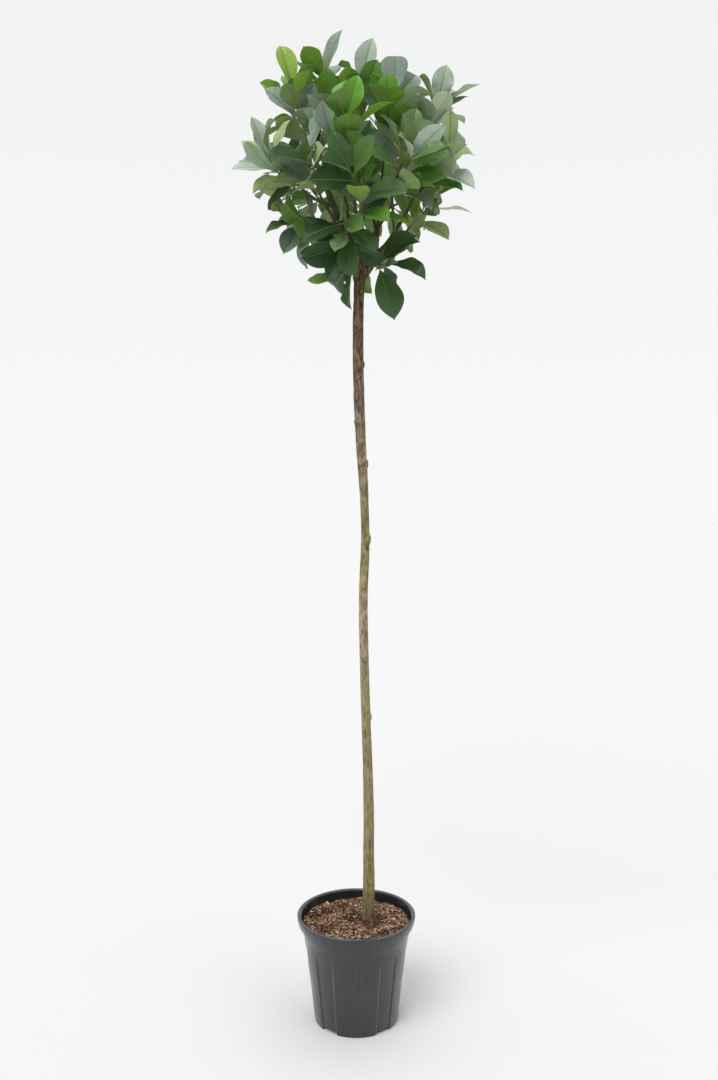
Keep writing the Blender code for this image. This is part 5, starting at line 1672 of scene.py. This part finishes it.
def make_stem(limbs):
    shares = np.linspace(0, 1, STEM_RINGS) ** STEM_RING_POWER
    centres = np.array([tuple(stem_point(float(share))) for share in shares])
    radius = np.array([interpolate(STEM_RADII, z) for z in centres[:, 2]])
    angle = np.arange(STEM_COLUMNS) * math.tau / STEM_COLUMNS
    angles, heights = np.meshgrid(angle, centres[:, 2])
    radii = np.broadcast_to(radius[:, None], heights.shape)
    fade = np.clip(1 - (heights - SOIL_LEVEL) / ROOT_FLARE_HEIGHT, 0, 1)
    lobes = 1 + ROOT_LOBE_DEPTH * fade * np.cos(ROOT_LOBES * angles)
    rough = ramp(-heights, -STEM_HEAD, HEAD_FADE - STEM_HEAD)
    reach = radii * lobes + bark_relief(angles, heights, radii) * rough
    x = centres[:, 0][:, None] + reach * np.cos(angles)
    y = centres[:, 1][:, None] + reach * np.sin(angles)
    pile = Pile()
    pile.add(np.stack([x, y, heights], -1).reshape(-1, 3), closed_faces(STEM_RINGS, STEM_COLUMNS), 0)
    add_limb(pile, FORK, limbs, FORK_COLUMNS)
    stem = pile.piece("stem_bark", [stem_look()], BARK_CREASE)
    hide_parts("stem")


def limb_line(bough, limbs, stations):
    """A bough's centre line, from its share of its parent's."""
    start = along_line(limbs[bough.parent][0], bough.share)
    return bent_line(start, direction(bough.azimuth, bough.rise), bough.length, bough.bow, stations)


def add_limb(pile, bough, limbs, columns):
    """A bough as a fine tube: swollen at its foot, ringed by old leaf scars, and closed flat at its tip."""
    rings = max(BOUGH_FEWEST_RINGS, round(bough.length * BOUGH_RINGS_PER_METRE))
    line = limb_line(bough, limbs, rings - 1)
    share = np.linspace(0, 1, rings)
    radius = bough.foot_radius + (bough.tip_radius - bough.foot_radius) * share
    run = share * bough.length
    parent = STEM_HEAD_RADIUS if bough.parent in ("stem", FORK.name) else PARENT_RADIUS
    spread = parent + COLLAR_SPREAD * bough.foot_radius
    radius = radius * (1 + COLLAR_SWELL * np.exp(-((run / spread) ** 2)))
    seed = sum(map(ord, bough.name))
    turns, runs = np.meshgrid(np.arange(columns) / columns, run)
    relief = np.zeros_like(runs)
    for number, (round_limb, per_metre, rise) in enumerate(BOUGH_LUMPS):
        relief += rise * (skin_noise(turns, runs, round_limb, per_metre, seed + number) - 0.5)
    dice = random.Random(seed)
    level = BOUGH_SCAR_FIRST
    while level < bough.length:
        off = (runs - level) / BOUGH_SCAR_HALF_WIDTH
        one_side = np.cos(math.tau * (turns - dice.random()))
        one_side = BOUGH_SCAR_ROUND + (1 - BOUGH_SCAR_ROUND) * one_side
        relief += BOUGH_SCAR_HEIGHT * np.exp(-off * off) * one_side
        level += dice.uniform(*BOUGH_SCAR_SPACING)
    relief *= np.clip(bough.foot_radius / FULL_RELIEF_RADIUS, LEAST_RELIEF, 1.0)
    points, faces = fine_tube(line, list(radius[:, None] + relief), columns)
    pile.add(points, faces, 0)


def make_boughs(limbs):
    pile = Pile()
    for bough in BOUGHS:
        add_limb(pile, bough, limbs, BOUGH_COLUMNS)
    boughs = pile.piece("bough_bark", [bough_look()], BARK_CREASE)
    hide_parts(*(bough.name for bough in BOUGHS))


def make_shoots():
    """Shoots with a swelling at each leaf, and a pointed bud at each tip."""
    looks = [twig_look(name, *tones) for name, tones in TWIG_TONES.items()]
    kinds = list(TWIG_TONES)
    shares = np.linspace(0, 1, SHOOT_RINGS)
    pile = Pile()
    for mass in MASSES:
        lead_kind = "twig_red" if mass.name in RED_SHOOTS else "twig_brown"
        for number, (line, radii) in enumerate(mass.shoots):
            length = line_length(line)
            fine = [smooth_curve(line, share) for share in shares]
            radius = np.interp(shares, np.linspace(0, 1, len(radii)), radii)
            for at in 1 - from_tip(np.arange(SWELLINGS)) / length:
                radius = radius * (1 + SWELLING * np.exp(-(((shares - at) * length / SWELLING_LENGTH) ** 2)))
            points, faces = fine_tube(fine, radius, SHOOT_COLUMNS)
            pile.add(points, faces, kinds.index("twig_green" if number else lead_kind))
            points, faces = bud(fine[-1], (fine[-1] - fine[-3]).normalized())
            pile.add(points, faces, kinds.index("bud"))
    shoots = pile.piece("shoots", looks, SHOOT_CREASE)


def bud(base, towards):
    """A pointed bud's points and faces."""
    line = [base - towards * BUD_SINK + towards * BUD_LENGTH * share for share in BUD_SHARES]
    return fine_tube(line, BUD_RADIUS * np.array(BUD_SWELL), BUD_COLUMNS)


def blade_width(share, widest, fullness):
    """Half width of the blade, from 0 to 1: widest past its middle, with a short drawn-out point."""
    body = np.sin(np.pi * np.clip(share / BLADE_END, 0, 1) ** widest) ** fullness
    point = POINT_WIDTH * np.clip((1 - share) / (1 - POINT_START), 0, 1) ** POINT_CURVE
    return np.where(share > 0.5, np.maximum(body, point), body)


def bent_path(arch, curl):
    """Run and drop of a leaf's middle line, in leaf lengths, as it arches and curls down at its tip."""
    share = np.linspace(0, 1, PATH_POINTS)
    bend = arch * share + curl * np.clip((share - CURL_START) / (1 - CURL_START), 0, 1) ** 2
    sums = [np.cumsum((part(bend[1:]) + part(bend[:-1])) / 2) for part in (np.cos, np.sin)]
    run, drop = (np.concatenate([[0], total]) * share[1] for total in sums)
    return share, bend, run, drop


def blade_template():
    """Faces of one blade: its upper side, its underside, its midrib and its thin edge."""
    columns = len(LEAF_COLUMNS) * 2 - 1
    per_side = LEAF_ROWS * columns
    middle = len(LEAF_COLUMNS) - 1
    faces, kinds = [], []
    for row in range(LEAF_ROWS - 1):
        for column in range(columns - 1):
            a, b = row * columns + column, row * columns + column + 1
            c, d = b + columns, a + columns
            rib = column in (middle - 1, middle)
            faces += [(a, b, c, d), (d + per_side, c + per_side, b + per_side, a + per_side)]
            kinds += [2 if rib else 0, 3 if rib else 1]
        a, d = row * columns, (row + 1) * columns
        faces.append((a, d, d + per_side, a + per_side))
        a, d = a + columns - 1, d + columns - 1
        faces.append((d, a, a + per_side, d + per_side))
        kinds += [1, 1]
    last = (LEAF_ROWS - 1) * columns
    for column in range(columns - 1):
        a, b = column, column + 1
        faces.append((b, a, a + per_side, b + per_side))
        a, b = last + column, last + column + 1
        faces.append((a, b, b + per_side, a + per_side))
        kinds += [1, 1]
    return np.array(faces), np.array(kinds)


def blade_points(leaf, shape):
    """Both sides of a blade: arched and curled along, folded and cupped across, waved and veined."""
    share, bend, run, drop = bent_path(leaf.arch, shape["curl"])
    side_columns = np.array(LEAF_COLUMNS)
    column = np.concatenate([-side_columns[:0:-1], side_columns])
    row = np.linspace(0, 1, LEAF_ROWS)[:, None]
    out = np.abs(column)[None, :]
    slant = VEIN_SLANT * out**VEIN_CURVE * np.sin(np.pi * row) * (1 - VEIN_EASE * row)
    blade = np.clip(row + slant, 0, 1)
    at = PETIOLE_SHARE + (1 - PETIOLE_SHARE) * blade
    full = leaf.length * LEAF_WIDTH_SHARE / 2
    half = blade_width(blade, shape["widest"], shape["fullness"]) * full * shape["slim"]
    half = np.maximum(half, LEAST_HALF_WIDTH)
    half = np.where(blade < BLADE_FOOT, np.maximum(half, FOOT_HALF_WIDTH), half)
    rib = np.minimum(RIB_HALF_WIDTH * (1 - RIB_TAPER * blade), half * RIB_MOST)
    step = np.clip((out - LEAF_COLUMNS[1]) / (1 - LEAF_COLUMNS[1]), 0, 1)
    off = np.where(out < LEAF_COLUMNS[1], 0.0, rib + (half - rib) * step) * np.sign(column)[None, :]
    lift = np.abs(off) * math.tan(shape["fold"]) + shape["cup"] * off**2 / full
    phase = np.where(column > 0, shape["phase"], shape["phase_left"])
    waves = np.sin(math.tau * shape["waves"] * blade + phase)
    lift = lift + shape["wave"] * waves * out**2 * np.sin(np.pi * blade)
    on_rib = out == 0
    veined = (np.arange(LEAF_ROWS)[:, None] % 2 == 0) * np.sin(np.pi * out) ** VEIN_SWELL
    vein = np.where(on_rib, 0.0, VEIN_DEPTH * veined * np.clip(half / full, 0, 1))
    groove = np.where(on_rib, RIB_GROOVE, 0.0)
    ridge = np.where(on_rib, RIB_RIDGE * (1 - RIDGE_TAPER * blade), 0.0)
    thick = np.where(out == 1, EDGE_THICKNESS, BLADE_THICKNESS)
    bends, runs, drops = (np.interp(at, share, values)[..., None] for values in (bend, run, drop))
    along, face = np.array(leaf.along), np.array(leaf.face)
    side = np.cross(along, face)
    middle = np.array(leaf.root) + leaf.length * (along * runs - face * drops)
    middle = middle + side * (leaf.length * shape["sweep"] * at**2)[..., None]
    normal = face * np.cos(bends) + along * np.sin(bends)
    twist = (shape["twist"] * at)[..., None]
    over = side * np.cos(twist) + normal * np.sin(twist)
    up = normal * np.cos(twist) - side * np.sin(twist)
    base = middle + over * off[..., None]
    upper = base + up * (lift + thick / 2 - vein - groove)[..., None]
    under = base + up * (lift - thick / 2 - vein * VEIN_BELOW - ridge)[..., None]
    return np.concatenate([upper.reshape(-1, 3), under.reshape(-1, 3)])


def stalk(leaf, shape):
    """The leaf's stalk, from inside its shoot to where it sinks into the midrib."""
    share, _, run, drop = bent_path(leaf.arch, shape["curl"])
    line = []
    for at in STALK_SHARES:
        forward, down = np.interp(at, share, run), np.interp(at, share, drop)
        middle = leaf.root + leaf.length * (leaf.along * forward - leaf.face * down)
        line.append(middle - leaf.face * STALK_SINK)
    return fine_tube(line, STALK_RADII, STALK_COLUMNS)


def leaf_shape(dice, young):
    """How one leaf is bent, folded, waved and outlined. A young one is folded more."""
    return {
        "curl": math.radians(dice.uniform(*LEAF_CURL)),
        "fold": math.radians(dice.uniform(*LEAF_FOLD) + YOUNG_FOLD * young),
        "cup": dice.uniform(*LEAF_CUP),
        "sweep": dice.uniform(-LEAF_SWEEP, LEAF_SWEEP),
        "twist": math.radians(dice.uniform(-LEAF_TWIST, LEAF_TWIST)),
        "wave": dice.uniform(*LEAF_WAVE),
        "waves": dice.uniform(*LEAF_WAVES),
        "widest": dice.uniform(*BLADE_WIDEST),
        "fullness": dice.uniform(*BLADE_FULLNESS),
        "phase": dice.uniform(0, math.tau),
        "phase_left": dice.uniform(0, math.tau),
    }


def grow_late_leaves(grown):
    """Smaller leaves that fill in after the others, lower on each shoot."""
    for mass in MASSES:
        dice = random.Random(f"{mass.name} late")
        turns = [dice.uniform(0, 360) for _ in mass.shoots]
        for rank in range(LATE_LEAVES):
            shoot, order = rank % len(mass.shoots), rank + LATE_LEAF_FIRST
            grow_leaf(mass, (shoot, order, turns[shoot] + SPIRAL * order), dice, grown, LATE_LEAF_SIZE)


def grow_tip_leaves(grown):
    """The smallest leaves, folded close together at each shoot's tip."""
    arch = math.radians(TIP_LEAF_ARCH)
    for mass in MASSES:
        dice = random.Random(f"{mass.name} tips")
        for line, _ in mass.shoots:
            root, ahead = along_line(line, 1.0), line_direction(line, 1.0)
            for number in range(TIP_LEAVES):
                turn = dice.uniform(0, math.tau)
                angle = math.radians(dice.uniform(*TIP_LEAF_ANGLE))
                along = leaning(ahead, turn, angle).normalized()
                length = dice.uniform(*TIP_LEAF_LENGTH)
                leaf = Leaf(root, along, across(ahead, along), length, arch, order=number)
                if in_crown(leaf.outline()) and fits(leaf, mass, grown):
                    add_leaf(leaf, mass, grown)


def spray_of(mass):
    """Which spray of tones a mass deals out. The inside spray is darker as painted shade."""
    if mass.name in TOP_MASSES:
        return "crown_top"
    return "side" if mass.name in SIDE_MASSES else "inside"


def tones_of(leaf, mass, dice, chosen):
    """The plain tones above and below: chosen, the leaf's own, or those that its spray deals to its age.
    Many carry painted sheen, painted light or painted shade.
    """
    spray = SPRAYS[spray_of(mass)]
    tone = leaf.tone
    if not tone:
        place = round(leaf.order * TONE_STEP + dice.uniform(-TONE_PLAY, TONE_PLAY))
        tone = spray[min(len(spray) - 1, max(0, place))]
    under = UNDER_OF_TONE.get(leaf.tone, dice.choice(UNDER_SPRAYS[spray_of(mass)]))
    if chosen in UNDERSIDES:
        return tone, chosen
    return chosen or tone, under


def make_leaves():
    """Every leaf as a fine blade on a stalk, joined mass by mass into a few pieces."""
    looks = [leaf_look(*tone, *gloss) for tones, *gloss in LEAF_GLOSS for tone in tones.items()]
    faces, kinds = blade_template()
    stalks = Pile()
    pile, names, number = Pile(), [], 1
    for mass in MASSES:
        dice = random.Random(f"{mass.name} looks")
        if pile.count and pile.triangles() + len(mass.grown) * TRIANGLES_A_LEAF > PIECE_LIMIT:
            close_leaf_piece(pile, names, number, looks)
            pile, names, number = Pile(), [], number + 1
        chosen, slim = CHOSEN_TONES.get(mass.name, {}), SLIM_LEAVES.get(mass.name, {})
        for place, leaf in enumerate(mass.grown):
            shape = leaf_shape(dice, max(0.0, 1 - leaf.order / YOUNG_UNTIL))
            shape["slim"] = slim.get(place, 1.0)
            tones = tones_of(leaf, mass, dice, chosen.get(place))
            if place in LEFT_OPEN.get(mass.name, ()):
                continue
            slots = np.array([LEAF_LOOKS.index(look) for look in (*tones, *RIBS)])[kinds]
            pile.add(blade_points(leaf, shape), faces, slots)
            stalks.add(*stalk(leaf, shape), 0)
        names.append(mass.name)
    close_leaf_piece(pile, names, number, looks)
    made = stalks.piece("leaf_stalks", [leaf_look("stalk", STALK_COLOUR, 0.50, 0.0)], BARK_CREASE)


def close_leaf_piece(pile, names, number, looks):
    leaves = pile.piece(f"leaves_{number}", looks, LEAF_CREASE)
    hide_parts(*names)


def in_scene(name, data):
    """A new object with this data, in the scene."""
    made = bpy.data.objects.new(name, data)
    bpy.context.scene.collection.objects.link(made)
    return made


def make_floor():
    """A plain pale floor."""
    mesh = bpy.data.meshes.new("floor")
    half = FLOOR_SIZE / 2
    corners = [(-half, -half, 0), (half, -half, 0), (half, half, 0), (-half, half, 0)]
    mesh.from_pydata(corners, [], [(0, 1, 2, 3)])
    mesh.materials.append(Look("floor_pale", FLOOR_COLOUR, **FLOOR_GLOSS).material)
    floor = in_scene("floor", mesh)


def make_room():
    """A white room: darker behind the camera as it lights the plant, and even as it is seen."""
    world = bpy.data.worlds.new("room")
    bpy.context.scene.world = world
    world.use_nodes = True
    tree = world.node_tree
    towards = tree.nodes.new("ShaderNodeTexCoord").outputs["Generated"]
    back = add_node(tree, "ShaderNodeSeparateXYZ", {"Vector": towards}).outputs
    light = mapped(tree, back["Y"], ROOM_LIGHT_TURN, ROOM_LIGHT, "SMOOTHSTEP")
    seen = mapped(tree, back["Z"], ROOM_SEEN_TURN, ROOM_SEEN)
    is_seen = tree.nodes.new("ShaderNodeLightPath").outputs["Is Camera Ray"]
    background = tree.nodes["Background"]
    background.inputs["Color"].default_value = (*ROOM_COLOUR, 1.0)
    tree.links.new(mapped(tree, is_seen, (0.0, 1.0), (light, seen)), background.inputs["Strength"])


def make_lamps():
    """Soft lamps round the plant."""
    for name, azimuth, rise, width, power, colour in LAMPS:
        data = bpy.data.lights.new(name, "SUN")
        data.angle = math.radians(width)
        data.energy = power
        data.color = colour
        lamp = in_scene(name, data)
        lamp.location = direction(azimuth, rise) * LAMP_DISTANCE
        lamp.rotation_mode = "QUATERNION"
        lamp.rotation_quaternion = (-direction(azimuth, rise)).to_track_quat("-Z", "Y")


def make_camera():
    data = bpy.data.cameras.new("camera")
    data.sensor_width = SENSOR
    data.lens = CAMERA_LENS
    camera = in_scene("camera", data)
    camera.location = CAMERA_PLACE
    camera.rotation_euler = (math.radians(90 - CAMERA_TILT), 0.0, 0.0)
    bpy.context.scene.camera = camera
    bpy.context.scene.view_settings.view_transform = "Standard"


def main():
    make_camera()
    make_floor()
    make_room()
    make_lamps()
    limbs = limb_lines()
    make_pot()
    make_soil()
    make_stem(limbs)
    make_boughs(limbs)
    grown = grow_crown(limbs)
    grow_late_leaves(grown)
    grow_tip_leaves(grown)
    make_shoots()
    make_leaves()


main()
